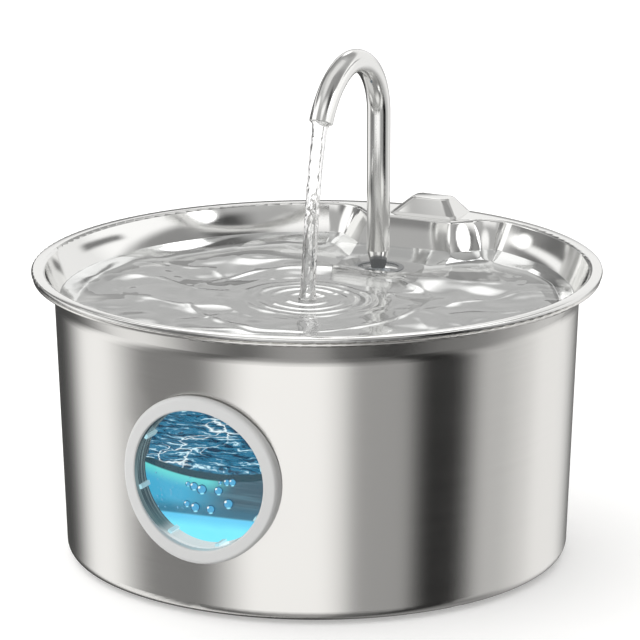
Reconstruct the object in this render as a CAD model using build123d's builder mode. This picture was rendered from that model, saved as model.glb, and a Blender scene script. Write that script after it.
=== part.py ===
from build123d import *
import os
from math import atan, cos, degrees, radians, sin

os.makedirs("parts", exist_ok=True)

# Pet water fountain. Millimetres. Origin on the tank's axis at the surface it stands on.
# +Z is up, -Y is the front with the sight window, +Y is the back with the deck and cable tunnel.

# ---- driving dimensions -------------------------------------------------------------------------

# whole fountain
rim_r = 102.5            # outer edge of the tray's flange
tank_height = 104.5      # tray's top above the tank's underside
foot_height = 1.2
fit_gap = 0.05           # radial running clearance of what turns or slides in a bore
loose_gap = 0.3          # clearance between neighbours that only stand close
over_cut = 1.0           # how far a cutting form runs past the face it cuts
same_spot = 0.01         # two measures closer than this are the same

# tank
tank_sheet = 0.6
wall_taper = 3.8         # wall's foot inside its head
tank_corner_r = 4.0
wall_inset = 3.4         # wall's head inside the tray's mouth
flare_blend_r = 7.0      # wall's soft bend into its flaring mouth
mouth_round = 1.6        # flaring mouth's bend into the flange
tank_rim_inset = 0.5     # tank's rolled rim stands this much inside the tray's
tank_hem = 1.6
hem_width = 1.5
hem_round = 0.65
foot_r = 8.0
foot_inset = 18.8        # feet's centres inside the wall's foot
foot_count = 4

# tray
tray_sheet = 0.7
rim_flat = 4.5
tray_hem = 1.6
flange_width = 10.1      # basin's wall inside the flange's edge, where the water stands
flare_depth = 10.6       # depth of that place below the tray's top
lip_round = 1.4          # basin's mouth where its flaring wall meets the flange
basin_depth = 22.5
basin_corner_r = 6.0
deck_depth = 27.1        # basin's rear wall inside the flange's edge
deck_half = 19.0
deck_nose_r = 18.0
deck_pocket_r = 8.0
boss_width = 31.0
boss_length = 24.0
boss_corner_r = 6.0
boss_drop = 13.0         # boss top below the tray's top
drain_r = 8.7

# stamped cable tunnel on the deck
tunnel_x = 3.0           # tunnel's middle, a little to the right of the spout
tunnel_setback = 1.1     # tunnel's rear end inside the flange's edge
tunnel_length = 17.4
tunnel_half = 13.6
tunnel_height = 5.6
tunnel_slope_front = 7.0
tunnel_slope_side = 6.2
tunnel_slope_back = 1.4
tunnel_corner_r = 3.0
tunnel_round = 1.9       # soft edge round the hill's flat top
mouth_half = 5.8
mouth_height = 4.4

# spout
spout_ahead = 22.8       # spout's axis in front of the basin's rear wall
spout_r = 4.3
spout_wall = 0.55
bend_rise = 45.6         # start of the bend above the tray's top
bend_r = 23.4
bend_turn = 110.0
relax_r = 32.0
relax_turn = 44.0
neck_r = 2.3
swage_top_drop = 6.0
swage_length = 7.8
tail_gap = 8.9           # spout's tail above the pump's outlet
tail_spigot = 3.0        # tail's length inside the swaged end of the tube

# drain collar and spout bush
collar_lip_r = 9.5
collar_lip = 0.4
collar_wall = 0.9
collar_depth = 4.5
hub_r = 5.2
hub_drop = 2.5           # hub's top below the boss
spoke_count = 4
spoke_width = 1.4
bush_wall = 1.2
bush_flange_r = 4.8
bush_flange = 0.8

# sight window
window_clear = 0.7       # lock ring's top below the tray's basin
window_proud = 4.5
bezel_r = 30.0
bezel_draft = 5.0        # degrees that the bezel's side narrows towards the wall
bezel_face = 5.2
bezel_curve_r = 120.0    # bezel's face bends with the wall, but more gently
bezel_lip = 3.0
bezel_edge = 1.6
bezel_inner_edge = 0.7
lens_lap = 1.0           # lens's edge behind the bezel's lip
barrel_wall = 1.4
barrel_length = 15.5
gasket = 0.8
gasket_inset = 1.2       # gasket's edge inside the bezel's
lens_thickness = 2.0
retainer_wall = 1.1
retainer_length = 7.0
clip_count = 8
clip_start = 15.0
clip_width = 1.6
clip_height = 1.0
lock_ring_width = 3.4
lock_ring_depth = 3.4
lock_notches = 6
lock_notch = 4.0
washer_seat_depth = 11.8  # washer's flat side behind the bezel's face

# pump
pump_width = 38.0
pump_height = 35.0
motor_length = 24.0
volute_length = 13.2
pump_wall = 2.0
pump_corner_r = 3.0
pump_cavity_r = 1.0
cup_height = 6.0
cup_r = 7.0
cup_neck_r = 3.5
cup_waist_r = 2.3
cup_waist_rise = 3.0
cup_hollow = 1.5
cup_lip = 1.0
rotor_drop = 15.8        # rotor's axis below the pump's top
chamber_r = 12.4
intake_r = 5.5
well_r = 7.2
well_wall = 1.2
well_gap = 1.2           # well's closed end to the motor cap
outlet_r = 4.5
outlet_bore = 3.0
outlet_rise = 6.5
sleeve_wall = 1.9
sleeve_drop = 6.0        # sleeve's upper end below the basin
shaft_r = 1.0
bush_r = 2.2
bush_length = 2.4
magnet_r = 6.7
magnet_setback = 0.9     # magnet's front end inside the well
stem_r = 2.2
impeller_r = 10.8
vane_height = 5.4
vane_count = 6
vane_width = 1.1
vane_hub_r = 3.2
disc_thickness = 1.2
seal_inner_r = 13.3
seal_width = 1.4
seal_depth = 0.9
screw_r = 1.25
screw_head_r = 2.3
screw_head = 1.4
screw_cross = 0.6
screw_length = 19.0
screw_inset = 3.2
post_r = 2.5
core_clear = 1.3         # stator core to the screw posts
core_slot = 3.8
coil_half = 8.0
coil_wall = 1.9
coil_round = 1.0
coil_clear = 0.3         # coil above the pump's inner floor
coil_end_clear = 0.4     # coil's ends to the walls in front and behind
resin_depth = 3.4

# pump trim
cover_r = 15.8
cover_plate = 1.8
cover_wall = 1.6
cover_collar = 3.2
cover_slots = 12
cover_slot_width = 1.5
dial_r = 8.6
dial_thickness = 1.4
dial_pin_r = 1.5
dial_grip = 1.2
dial_ports = 6
dial_port_r = 4.8
dial_port_length = 5.0
dial_port_width = 1.8
led_r = 4.0
led_flange_r = 5.4
led_proud = 3.0
led_round = 1.8
led_pitch = 4.0
led_chip = 2.0
led_chip_height = 0.6
led_setback = 10.8       # light's centre behind the volute
board_thickness = 1.2
board_width = 22.0
board_length = 13.0
gland_r = 3.4
gland_bore = 1.8
gland_length = 8.0
gland_taper = 6.0
gland_inset = 7.2        # gland's axis in front of the motor's rear end
gland_drop = 9.0          # gland's axis below the pump's top

# filter cage in front of the pump
cage_half = 28.0
cage_depth = 29.0
cage_height = 48.0
cage_wall = 1.6
cage_corner_r = 3.0
cage_clear = 1.0         # cage's back to the flow dial
grille_bars = 7
grille_bar = 3.0
grille_margin = 5.0
foam_depth = 11.0
fill_drop = 2.0          # top of the foam and the cartridge below the cage's
fill_corner_r = 1.6      # corners of the foam and the cartridge
cartridge_rim = 2.4
cartridge_tab = 5.0
cartridge_tab_half = 7.0

# cable clip on the tank's rim
cable_clip_half = 5.2
cable_clip_length = 5.0
cable_clip_height = 5.4
cable_slot_half = 2.3
cable_slot_floor = 1.1

# ---- derived heights and radii ------------------------------------------------------------------

base_z = foot_height
top_z = base_z + tank_height
floor_z = base_z + tank_sheet
basin_r = rim_r - flange_width
mouth_r = rim_r - rim_flat
flare_slope = (mouth_r - basin_r) / flare_depth
flare_angle = degrees(atan(flare_slope))
flare_thickening = 1 / cos(radians(flare_angle))
flange_top_z = top_z - tray_hem
flange_under_z = flange_top_z - tank_sheet
tank_skin = tray_sheet + loose_gap
wall_top_r = mouth_r - wall_inset
wall_foot_r = wall_top_r - wall_taper
foot_circle_r = wall_foot_r - foot_inset
tank_rim_r = rim_r - tank_rim_inset
deck_wall_y = rim_r - deck_depth
tunnel_back_y = rim_r - tunnel_setback
tunnel_front_y = tunnel_back_y - tunnel_length
spout_y = deck_wall_y - spout_ahead
boss_top_z = top_z - boss_drop
basin_floor_z = top_z - basin_depth
opening_r = bezel_r - bezel_face
barrel_bore = opening_r + lens_lap
barrel_r = barrel_bore + barrel_wall
lock_ring_r = barrel_r + lock_ring_width
window_z = basin_floor_z - tray_sheet - window_clear - lock_ring_r


def wall_radius(z):
    """Outer radius of the tank's tapered wall at height z."""
    return wall_foot_r + (wall_top_r - wall_foot_r) * (z - base_z) / (flange_under_z - base_z)


def flare_radius(z, skin):
    """Radius of the flaring wall at height z, grown by skin."""
    return mouth_r - (top_z - z) * flare_slope + skin * flare_thickening


def flare_foot(skin, inset):
    """Point where the flare, grown by skin, leaves the tank's wall that lies inset inside."""
    closing = flare_slope - (wall_top_r - wall_foot_r) / (flange_under_z - base_z)
    spread = flare_radius(top_z, skin) - wall_radius(top_z) + inset
    z = top_z - spread / closing
    return (wall_radius(z) - inset, z)


window_face = wall_radius(window_z) + window_proud
pump_base_z = floor_z + cup_height
pump_top_z = pump_base_z + pump_height
rotor_z = pump_top_z - rotor_drop
volute_front_y = spout_y - volute_length / 2
volute_back_y = spout_y + volute_length / 2
motor_back_y = volute_back_y + motor_length
outlet_top_z = pump_top_z + outlet_rise
tail_z = outlet_top_z + tail_gap
led_y = volute_back_y + led_setback
gland_y = motor_back_y - gland_inset
well_length = motor_length - pump_wall - well_wall - well_gap
magnet_length = well_length - bush_length - loose_gap - magnet_setback
cover_front_y = volute_front_y - cover_plate - cover_collar
dial_front_y = cover_front_y - 2 * fit_gap - dial_thickness - dial_grip
cage_back_y = dial_front_y - cage_clear
cage_front_y = cage_back_y - cage_depth
screw_points = [
    (side * (pump_width / 2 - screw_inset), end * (pump_height / 2 - screw_inset))
    for side in (-1, 1)
    for end in (-1, 1)
]

# ---- helpers ------------------------------------------------------------------------------------


def corner(sketch, x, y):
    """The vertex of a sketch that lies nearest to a point."""
    return sketch.vertices().sort_by_distance(Vector(x, y, 0))[0]


def facing(y, z=0.0):
    """A plane that looks to the front at distance y, with local x along X and local y along Z."""
    return Plane(origin=(0, y, z), x_dir=(1, 0, 0), z_dir=(0, -1, 0))


def window_plane(depth):
    """A plane of the sight window, depth behind the bezel's face."""
    return facing(depth - window_face, window_z)


def save(piece, label):
    """Label a finished piece and write its file."""
    piece.part.label = label
    export_step(piece.part, f"parts/{label}.step")


def wall_form(skin):
    """Solid of the tank's outer wall, grown outwards by skin."""
    with BuildPart() as form:
        with BuildSketch(Plane.XZ):
            with BuildLine():
                Polyline(
                    (0, base_z),
                    (wall_foot_r + skin, base_z),
                    (wall_top_r + skin, flange_under_z),
                    (0, flange_under_z),
                    close=True,
                )
            make_face()
        revolve(axis=Axis.Z)
    return form.part


def basin_form(skin, flange_r, flange_height):
    """The basin's space grown by skin, under a round plate that becomes or clears the flange."""
    level = top_z - skin
    floor = basin_floor_z - skin
    reach = rim_r
    slope = reach - deck_wall_y
    with BuildPart() as form:
        with BuildSketch(Plane.XY.offset(level)) as outline:
            Circle(basin_r)
            with BuildLine():
                Polyline(
                    (-deck_half, deck_wall_y),
                    (deck_half, deck_wall_y),
                    (deck_half + slope, reach),
                    (-deck_half - slope, reach),
                    close=True,
                )
            make_face(mode=Mode.SUBTRACT)
            pockets = [v for v in outline.vertices() if on_circle(v, basin_r) and v.Y > deck_wall_y]
            noses = [v for v in outline.vertices() if abs(v.Y - deck_wall_y) < same_spot]
            fillet(pockets, deck_pocket_r)
            fillet(noses, deck_nose_r)
            offset(amount=flare_radius(level, skin) - basin_r)
        extrude(amount=floor - level, taper=flare_angle)
        fillet(form.faces().sort_by(Axis.Z)[0].edges(), basin_corner_r + skin)
        with BuildSketch(Plane.XY.offset(level)):
            Circle(flange_r)
        extrude(amount=flange_height)
        seam = form.edges().filter_by(lambda e: inside_seam(e, level, flange_r))
        fillet(seam, lip_round - skin)
        with BuildSketch(Plane.XY.offset(floor - over_cut)):
            with Locations((0, spout_y)):
                RectangleRounded(
                    boss_width - 2 * skin,
                    boss_length - 2 * skin,
                    boss_corner_r - skin,
                )
        extrude(amount=boss_top_z - skin - floor + over_cut, mode=Mode.SUBTRACT)
    return form.part


def on_circle(vertex, radius):
    """Whether a vertex lies on a circle about the axis."""
    return abs((vertex.X**2 + vertex.Y**2) ** 0.5 - radius) < same_spot


def inside_seam(edge, level, flange_r):
    """Whether an edge is part of the corner where the basin's wall meets the flange."""
    box = edge.bounding_box()
    flat = abs(box.min.Z - level) < same_spot and abs(box.max.Z - level) < same_spot
    middle = edge.position_at(0.5)
    return flat and (middle.X**2 + middle.Y**2) ** 0.5 < flange_r - over_cut


# ---- tank ---------------------------------------------------------------------------------------

wall_foot = (wall_foot_r, base_z)
wall_head = flare_foot(tank_skin + tank_sheet, 0)
outer_mouth = (flare_radius(flange_under_z, tank_skin + tank_sheet), flange_under_z)
inner_foot = (wall_radius(floor_z) - tank_sheet, floor_z)
inner_head = flare_foot(tank_skin, tank_sheet)
inner_mouth = (flare_radius(flange_top_z, tank_skin), flange_top_z)

with BuildPart() as tank_shell:
    with BuildSketch(Plane.XZ) as tank_profile:
        with BuildLine():
            Polyline(
                (0, base_z),
                wall_foot,
                wall_head,
                outer_mouth,
                (tank_rim_r - hem_width, flange_under_z),
                (tank_rim_r - hem_width, flange_top_z - tank_hem),
                (tank_rim_r, flange_top_z - tank_hem),
                (tank_rim_r, flange_top_z),
                inner_mouth,
                inner_head,
                inner_foot,
                (0, floor_z),
                close=True,
            )
        make_face()
        fillet(corner(tank_profile, *wall_foot), tank_corner_r)
        fillet(corner(tank_profile, *inner_foot), tank_corner_r - tank_sheet)
        fillet(corner(tank_profile, *wall_head), flare_blend_r)
        fillet(corner(tank_profile, *inner_head), flare_blend_r + tank_sheet)
        fillet(corner(tank_profile, *outer_mouth), mouth_round - tank_sheet)
        fillet(corner(tank_profile, *inner_mouth), mouth_round)
        fillet(corner(tank_profile, tank_rim_r, flange_top_z), hem_round)
        fillet(corner(tank_profile, tank_rim_r, flange_top_z - tank_hem), hem_round)
    revolve(axis=Axis.Z)
    with BuildSketch(window_plane(0)):
        Circle(barrel_r + loose_gap)
    extrude(amount=-window_face / 2, mode=Mode.SUBTRACT)
save(tank_shell, "tank_shell")

with BuildPart() as tank_feet:
    with BuildSketch(Plane.XY):
        with PolarLocations(foot_circle_r, foot_count, start_angle=45):
            Circle(foot_r)
    extrude(amount=foot_height)
save(tank_feet, "tank_feet")

# ---- sight window -------------------------------------------------------------------------------

with BuildPart() as window_bezel:
    with BuildSketch(window_plane(0)):
        Circle(bezel_r)
    extrude(amount=-washer_seat_depth, taper=bezel_draft)
    add(wall_form(gasket), mode=Mode.SUBTRACT)
    with BuildSketch(window_plane(bezel_lip)):
        Circle(barrel_r)
    extrude(amount=bezel_lip - barrel_length)
    with BuildSketch(window_plane(bezel_lip)):
        Circle(barrel_bore)
    extrude(amount=bezel_lip - barrel_length, mode=Mode.SUBTRACT)
    with BuildSketch(window_plane(0)):
        Circle(opening_r)
    extrude(amount=-bezel_lip, mode=Mode.SUBTRACT)
    with Locations((0, bezel_curve_r - window_face, window_z)):
        Cylinder(bezel_curve_r, 3 * bezel_r, mode=Mode.INTERSECT)
    fillet(window_bezel.faces().sort_by(Axis.Y)[0].outer_wire().edges(), bezel_edge)
    fillet(window_bezel.faces().sort_by(Axis.Y)[0].inner_wires()[0].edges(), bezel_inner_edge)
save(window_bezel, "window_bezel")

with BuildPart() as window_gasket:
    with BuildSketch(window_plane(0)):
        Circle(bezel_r - gasket_inset)
        Circle(barrel_r + loose_gap, mode=Mode.SUBTRACT)
    extrude(amount=-washer_seat_depth)
    add(wall_form(gasket), mode=Mode.INTERSECT)
    add(wall_form(0), mode=Mode.SUBTRACT)
save(window_gasket, "window_gasket")

lens_front = bezel_lip
lens_back = lens_front + lens_thickness

with BuildPart() as window_lens:
    with BuildSketch(window_plane(lens_front)):
        Circle(barrel_bore - fit_gap)
    extrude(amount=-lens_thickness)
save(window_lens, "window_lens")

with BuildPart() as lens_retainer:
    with BuildSketch(window_plane(lens_back)):
        Circle(barrel_bore - fit_gap)
        Circle(barrel_bore - fit_gap - retainer_wall, mode=Mode.SUBTRACT)
    extrude(amount=-retainer_length)
save(lens_retainer, "lens_retainer")

with BuildPart() as lens_clips:
    with BuildSketch(window_plane(lens_back)):
        clip_r = barrel_bore - fit_gap - retainer_wall - clip_height / 2
        with PolarLocations(clip_r, clip_count, start_angle=clip_start):
            Rectangle(clip_height, clip_width)
        Circle(barrel_bore - fit_gap - retainer_wall, mode=Mode.INTERSECT)
    extrude(amount=-retainer_length)
save(lens_clips, "lens_clips")

with BuildPart() as saddle_washer:
    with BuildSketch(window_plane(0)):
        Circle(lock_ring_r)
        Circle(barrel_r + fit_gap, mode=Mode.SUBTRACT)
    extrude(amount=-washer_seat_depth)
    add(wall_form(-tank_sheet), mode=Mode.INTERSECT)
save(saddle_washer, "saddle_washer")

with BuildPart() as lock_ring:
    with BuildSketch(window_plane(washer_seat_depth)):
        Circle(lock_ring_r)
        Circle(barrel_r + fit_gap, mode=Mode.SUBTRACT)
        with PolarLocations(lock_ring_r, lock_notches):
            Rectangle(lock_notch / 2, lock_notch, mode=Mode.SUBTRACT)
    extrude(amount=-lock_ring_depth)
save(lock_ring, "lock_ring")

# ---- tray ---------------------------------------------------------------------------------------


def tunnel_form(skin, depth):
    """The cable tunnel's hill shrunk by skin, with straight sides going depth below the deck."""
    length = tunnel_back_y - tunnel_front_y - 2 * skin
    middle = (tunnel_front_y + tunnel_back_y) / 2
    plateau_length = length - tunnel_slope_front - tunnel_slope_back
    plateau_middle = middle + (tunnel_slope_front - tunnel_slope_back) / 2
    plateau_half = tunnel_half - skin - tunnel_slope_side
    with BuildPart() as form:
        with BuildSketch(Plane.XY.offset(top_z)):
            with Locations((tunnel_x, middle)):
                RectangleRounded(2 * (tunnel_half - skin), length, tunnel_corner_r)
        with BuildSketch(Plane.XY.offset(top_z + tunnel_height - skin)):
            with Locations((tunnel_x, plateau_middle)):
                RectangleRounded(2 * plateau_half, plateau_length, tunnel_corner_r)
        loft()
        fillet(form.faces().sort_by(Axis.Z)[-1].edges(), tunnel_round - skin)
        with BuildSketch(Plane.XY.offset(top_z)):
            with Locations((tunnel_x, middle)):
                RectangleRounded(2 * (tunnel_half - skin), length, tunnel_corner_r)
        extrude(amount=-depth)
    return form.part


with BuildPart() as tray_pan:
    add(basin_form(tray_sheet, rim_r, tray_sheet))
    with BuildSketch(Plane.XY.offset(top_z)):
        Circle(rim_r)
        Circle(rim_r - hem_width, mode=Mode.SUBTRACT)
    extrude(amount=-tray_hem)
    add(basin_form(0, rim_r + over_cut, boss_drop), mode=Mode.SUBTRACT)
    rim_edges = tray_pan.edges().filter_by(GeomType.CIRCLE).filter_by(
        lambda e: abs(e.radius - rim_r) < same_spot
    )
    fillet(rim_edges, hem_round)
    add(tunnel_form(0, tray_sheet))
    add(tunnel_form(tray_sheet, tray_hem), mode=Mode.SUBTRACT)
    with BuildSketch(facing(tunnel_back_y - tunnel_slope_back - over_cut, top_z)):
        with Locations((tunnel_x, (mouth_height - tray_hem) / 2)):
            Rectangle(2 * mouth_half, mouth_height + tray_hem)
    extrude(amount=-(tunnel_setback + tunnel_slope_back + 3 * over_cut), mode=Mode.SUBTRACT)
    with BuildSketch(Plane.XY.offset(boss_top_z)):
        with Locations((0, spout_y)):
            Circle(drain_r)
    extrude(amount=-2 * tray_sheet, mode=Mode.SUBTRACT)
save(tray_pan, "tray_pan")

collar_r = drain_r - fit_gap
bush_bore = neck_r + fit_gap
bush_r_out = bush_bore + bush_wall
hub_top_z = boss_top_z - hub_drop

with BuildPart() as drain_collar:
    with BuildSketch(Plane.XY.offset(boss_top_z)):
        with Locations((0, spout_y)):
            Circle(collar_lip_r)
            Circle(collar_r - collar_wall, mode=Mode.SUBTRACT)
    extrude(amount=collar_lip)
    with BuildSketch(Plane.XY.offset(boss_top_z)):
        with Locations((0, spout_y)):
            Circle(collar_r)
            Circle(collar_r - collar_wall, mode=Mode.SUBTRACT)
    extrude(amount=-collar_depth)
    with BuildSketch(Plane.XY.offset(boss_top_z - collar_depth)):
        with Locations((0, spout_y)):
            with PolarLocations((bush_r_out + collar_r - collar_wall / 2) / 2, spoke_count, 45):
                Rectangle(collar_r - collar_wall / 2 - bush_r_out, spoke_width)
            Circle(hub_r)
    extrude(amount=collar_depth - hub_drop)
    with BuildSketch(Plane.XY.offset(boss_top_z - collar_depth)):
        with Locations((0, spout_y)):
            Circle(bush_r_out)
    extrude(amount=collar_depth - hub_drop, mode=Mode.SUBTRACT)
save(drain_collar, "drain_collar")

with BuildPart() as spout_bush:
    with BuildSketch(Plane.XY.offset(boss_top_z - collar_depth)):
        with Locations((0, spout_y)):
            Circle(bush_r_out - fit_gap)
            Circle(bush_bore, mode=Mode.SUBTRACT)
    extrude(amount=collar_depth - hub_drop)
    with BuildSketch(Plane.XY.offset(hub_top_z)):
        with Locations((0, spout_y)):
            Circle(bush_flange_r)
            Circle(bush_bore, mode=Mode.SUBTRACT)
    extrude(amount=bush_flange)
save(spout_bush, "spout_bush")

# ---- spout --------------------------------------------------------------------------------------

swage_z = top_z - swage_top_drop
neck_top_z = swage_z - swage_length
neck_z = hub_top_z + bush_flange + loose_gap
bend_z = top_z + bend_rise
bend_end_y = spout_y - bend_r + bend_r * cos(radians(bend_turn))
bend_end_z = bend_z + bend_r * sin(radians(bend_turn))
relax_centre_y = bend_end_y - relax_r * cos(radians(bend_turn))
relax_centre_z = bend_end_z - relax_r * sin(radians(bend_turn))

with BuildPart() as spout_tube:
    riser_plane = Plane(origin=(0, spout_y, 0), x_dir=(1, 0, 0), z_dir=(0, -1, 0))
    with BuildSketch(riser_plane) as riser_profile:
        with BuildLine():
            Polyline(
                (neck_r, neck_z),
                (neck_r, neck_top_z),
                (spout_r, swage_z),
                (spout_r, bend_z),
                (spout_r - spout_wall, bend_z),
                (spout_r - spout_wall, swage_z),
                (neck_r - spout_wall, neck_top_z),
                (neck_r - spout_wall, neck_z),
                close=True,
            )
        make_face()
    revolve(axis=Axis((0, spout_y, 0), (0, 0, 1)))
    with BuildLine(Plane.YZ) as bend_path:
        CenterArc((spout_y - bend_r, bend_z), bend_r, 0, bend_turn)
        CenterArc((relax_centre_y, relax_centre_z), relax_r, bend_turn, relax_turn)
    with BuildSketch(Plane(origin=(0, spout_y, bend_z), x_dir=(1, 0, 0), z_dir=(0, 0, 1))):
        Circle(spout_r)
        Circle(spout_r - spout_wall, mode=Mode.SUBTRACT)
    sweep(path=bend_path.wires()[0])
save(spout_tube, "spout_tube")

spigot_r = neck_r - spout_wall - fit_gap
tail_bore = neck_r - 2 * spout_wall

with BuildPart() as spout_tail:
    with BuildSketch(riser_plane) as tail_profile:
        with BuildLine():
            Polyline(
                (neck_r, tail_z),
                (neck_r, neck_z),
                (spigot_r, neck_z),
                (spigot_r, neck_z + tail_spigot),
                (tail_bore, neck_z + tail_spigot),
                (tail_bore, tail_z),
                close=True,
            )
        make_face()
    revolve(axis=Axis((0, spout_y, 0), (0, 0, 1)))
save(spout_tail, "spout_tail")

# ---- pump ---------------------------------------------------------------------------------------

pump_middle_z = (pump_base_z + pump_top_z) / 2

with BuildPart() as volute_cover:
    with BuildSketch(facing(volute_front_y, pump_middle_z)):
        RectangleRounded(pump_width, pump_height, pump_corner_r)
    extrude(amount=-volute_length)
    with BuildSketch(Plane.XY.offset(rotor_z)):
        with Locations((0, spout_y)):
            Circle(outlet_r)
    extrude(amount=outlet_top_z - rotor_z)
    with BuildSketch(facing(volute_front_y, rotor_z)):
        Circle(cover_r - cover_wall - fit_gap)
    extrude(amount=cover_collar)
    with BuildSketch(facing(volute_front_y + pump_wall, rotor_z)):
        Circle(chamber_r)
    extrude(amount=pump_wall - volute_length, mode=Mode.SUBTRACT)
    with BuildSketch(facing(volute_front_y - cover_collar, rotor_z)):
        Circle(chamber_r - pump_wall)
    extrude(amount=-cover_collar, mode=Mode.SUBTRACT)
    with BuildSketch(facing(volute_front_y, rotor_z)):
        Circle(intake_r)
    extrude(amount=-pump_wall, mode=Mode.SUBTRACT)
    with BuildSketch(facing(volute_front_y, rotor_z)):
        Rectangle(2 * intake_r + pump_wall, pump_wall)
        Rectangle(pump_wall, 2 * intake_r + pump_wall)
        Circle(bush_r + pump_wall / 2)
    extrude(amount=-pump_wall)
    with BuildSketch(facing(volute_front_y, rotor_z)):
        Circle(bush_r)
    extrude(amount=-pump_wall, mode=Mode.SUBTRACT)
    with BuildSketch(Plane.XY.offset(rotor_z)):
        with Locations((0, spout_y)):
            Circle(outlet_bore)
    extrude(amount=outlet_top_z - rotor_z, mode=Mode.SUBTRACT)
    with BuildSketch(facing(volute_front_y, pump_middle_z)):
        with Locations(*screw_points):
            Circle(screw_r + fit_gap)
    extrude(amount=-volute_length, mode=Mode.SUBTRACT)
    with BuildSketch(facing(volute_front_y, pump_middle_z)):
        with Locations(*screw_points):
            Circle(screw_head_r + fit_gap)
    extrude(amount=-screw_head, mode=Mode.SUBTRACT)
save(volute_cover, "volute_cover")

well_plane = facing(volute_back_y, rotor_z)
cavity_front_y = volute_back_y + pump_wall
resin_front_y = motor_back_y - pump_wall - resin_depth

with BuildPart() as pump_body:
    with BuildSketch(facing(volute_back_y, pump_middle_z)):
        RectangleRounded(pump_width, pump_height, pump_corner_r)
    extrude(amount=-motor_length)
    with BuildSketch(facing(cavity_front_y, pump_middle_z)):
        RectangleRounded(
            pump_width - 2 * pump_wall, pump_height - 2 * pump_wall, pump_cavity_r
        )
    extrude(amount=pump_wall - motor_length, mode=Mode.SUBTRACT)
    with BuildSketch(well_plane):
        Circle(well_r + well_wall)
    extrude(amount=-well_length - well_wall)
    with BuildSketch(well_plane):
        Circle(well_r)
    extrude(amount=-well_length, mode=Mode.SUBTRACT)
    with BuildSketch(facing(volute_back_y, pump_middle_z)):
        with Locations(*screw_points):
            Circle(post_r)
    extrude(amount=-screw_length / 2)
    with BuildSketch(facing(volute_back_y, pump_middle_z)):
        with Locations(*screw_points):
            Circle(screw_r + fit_gap)
    extrude(amount=volute_length - screw_length - fit_gap, mode=Mode.SUBTRACT)
    with BuildSketch(well_plane):
        Circle(seal_inner_r + seal_width)
        Circle(seal_inner_r, mode=Mode.SUBTRACT)
    extrude(amount=-seal_depth, mode=Mode.SUBTRACT)
    with BuildSketch(Plane.XY.offset(pump_top_z - pump_wall)):
        with Locations((0, led_y)):
            Circle(led_r + fit_gap)
    extrude(amount=pump_wall, mode=Mode.SUBTRACT)
    gland_plane = Plane(
        origin=(pump_width / 2 - pump_wall, gland_y, pump_top_z - gland_drop),
        x_dir=(0, 1, 0),
        z_dir=(1, 0, 0),
    )
    with BuildSketch(gland_plane):
        Circle(gland_bore + 2 * fit_gap)
    extrude(amount=pump_wall, mode=Mode.SUBTRACT)
save(pump_body, "pump_body")

with BuildPart() as pump_seal:
    with BuildSketch(well_plane):
        Circle(seal_inner_r + seal_width - fit_gap)
        Circle(seal_inner_r + fit_gap, mode=Mode.SUBTRACT)
    extrude(amount=-seal_depth)
save(pump_seal, "pump_seal")

with BuildPart() as motor_cap:
    with BuildSketch(facing(motor_back_y - pump_wall, pump_middle_z)):
        RectangleRounded(
            pump_width - 2 * pump_wall - 2 * fit_gap,
            pump_height - 2 * pump_wall - 2 * fit_gap,
            pump_cavity_r - fit_gap,
        )
    extrude(amount=-pump_wall)
save(motor_cap, "motor_cap")

core_y = cavity_front_y + coil_wall + coil_end_clear
core_length = resin_front_y - coil_wall - coil_end_clear - core_y
core_half = pump_width / 2 - screw_inset - post_r - core_clear
bar_low_z = pump_base_z + pump_wall + coil_clear + coil_wall
window_high_z = rotor_z - well_r
core_bar = window_high_z - bar_low_z - 2 * coil_wall

with BuildPart() as stator_core:
    with BuildSketch(facing(core_y)):
        with Locations((0, (bar_low_z + rotor_z + well_r) / 2)):
            Rectangle(2 * core_half, rotor_z + well_r - bar_low_z)
        with Locations((0, rotor_z)):
            Circle(well_r + well_wall + fit_gap, mode=Mode.SUBTRACT)
        with Locations((0, rotor_z + well_r)):
            Rectangle(core_slot, 2 * well_r, mode=Mode.SUBTRACT)
        with Locations((0, (bar_low_z + core_bar + window_high_z) / 2)):
            Rectangle(
                2 * (coil_half + fit_gap),
                window_high_z - bar_low_z - core_bar,
                mode=Mode.SUBTRACT,
            )
    extrude(amount=-core_length)
save(stator_core, "stator_core")

with BuildPart() as stator_coil:
    with BuildSketch(Plane.YZ.offset(-coil_half)):
        with Locations((core_y + core_length / 2, bar_low_z + core_bar / 2)):
            RectangleRounded(core_length + 2 * coil_wall, core_bar + 2 * coil_wall, coil_round)
            Rectangle(
                core_length + 2 * fit_gap,
                core_bar + 2 * fit_gap,
                mode=Mode.SUBTRACT,
            )
    extrude(amount=2 * coil_half)
save(stator_coil, "stator_coil")

with BuildPart() as motor_resin:
    with BuildSketch(facing(resin_front_y + fit_gap, pump_middle_z)):
        RectangleRounded(
            pump_width - 2 * pump_wall - 2 * fit_gap,
            pump_height - 2 * pump_wall - 2 * fit_gap,
            pump_cavity_r - fit_gap,
        )
    extrude(amount=2 * fit_gap - resin_depth)
    with BuildSketch(well_plane):
        Circle(well_r + well_wall + fit_gap)
    extrude(amount=-well_length - well_wall - fit_gap, mode=Mode.SUBTRACT)
save(motor_resin, "motor_resin")

shaft_front_y = volute_front_y
well_end_y = volute_back_y + well_length

with BuildPart() as impeller_shaft:
    with BuildSketch(facing(shaft_front_y, rotor_z)):
        Circle(shaft_r)
    extrude(amount=shaft_front_y - well_end_y)
save(impeller_shaft, "impeller_shaft")

with BuildPart() as shaft_bushes:
    with BuildSketch(facing(shaft_front_y, rotor_z)):
        Circle(bush_r - fit_gap)
        Circle(shaft_r + fit_gap, mode=Mode.SUBTRACT)
    extrude(amount=-bush_length)
    with BuildSketch(facing(well_end_y - bush_length, rotor_z)):
        Circle(well_r - fit_gap)
        Circle(shaft_r + fit_gap, mode=Mode.SUBTRACT)
    extrude(amount=-bush_length)
save(shaft_bushes, "shaft_bushes")

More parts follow.
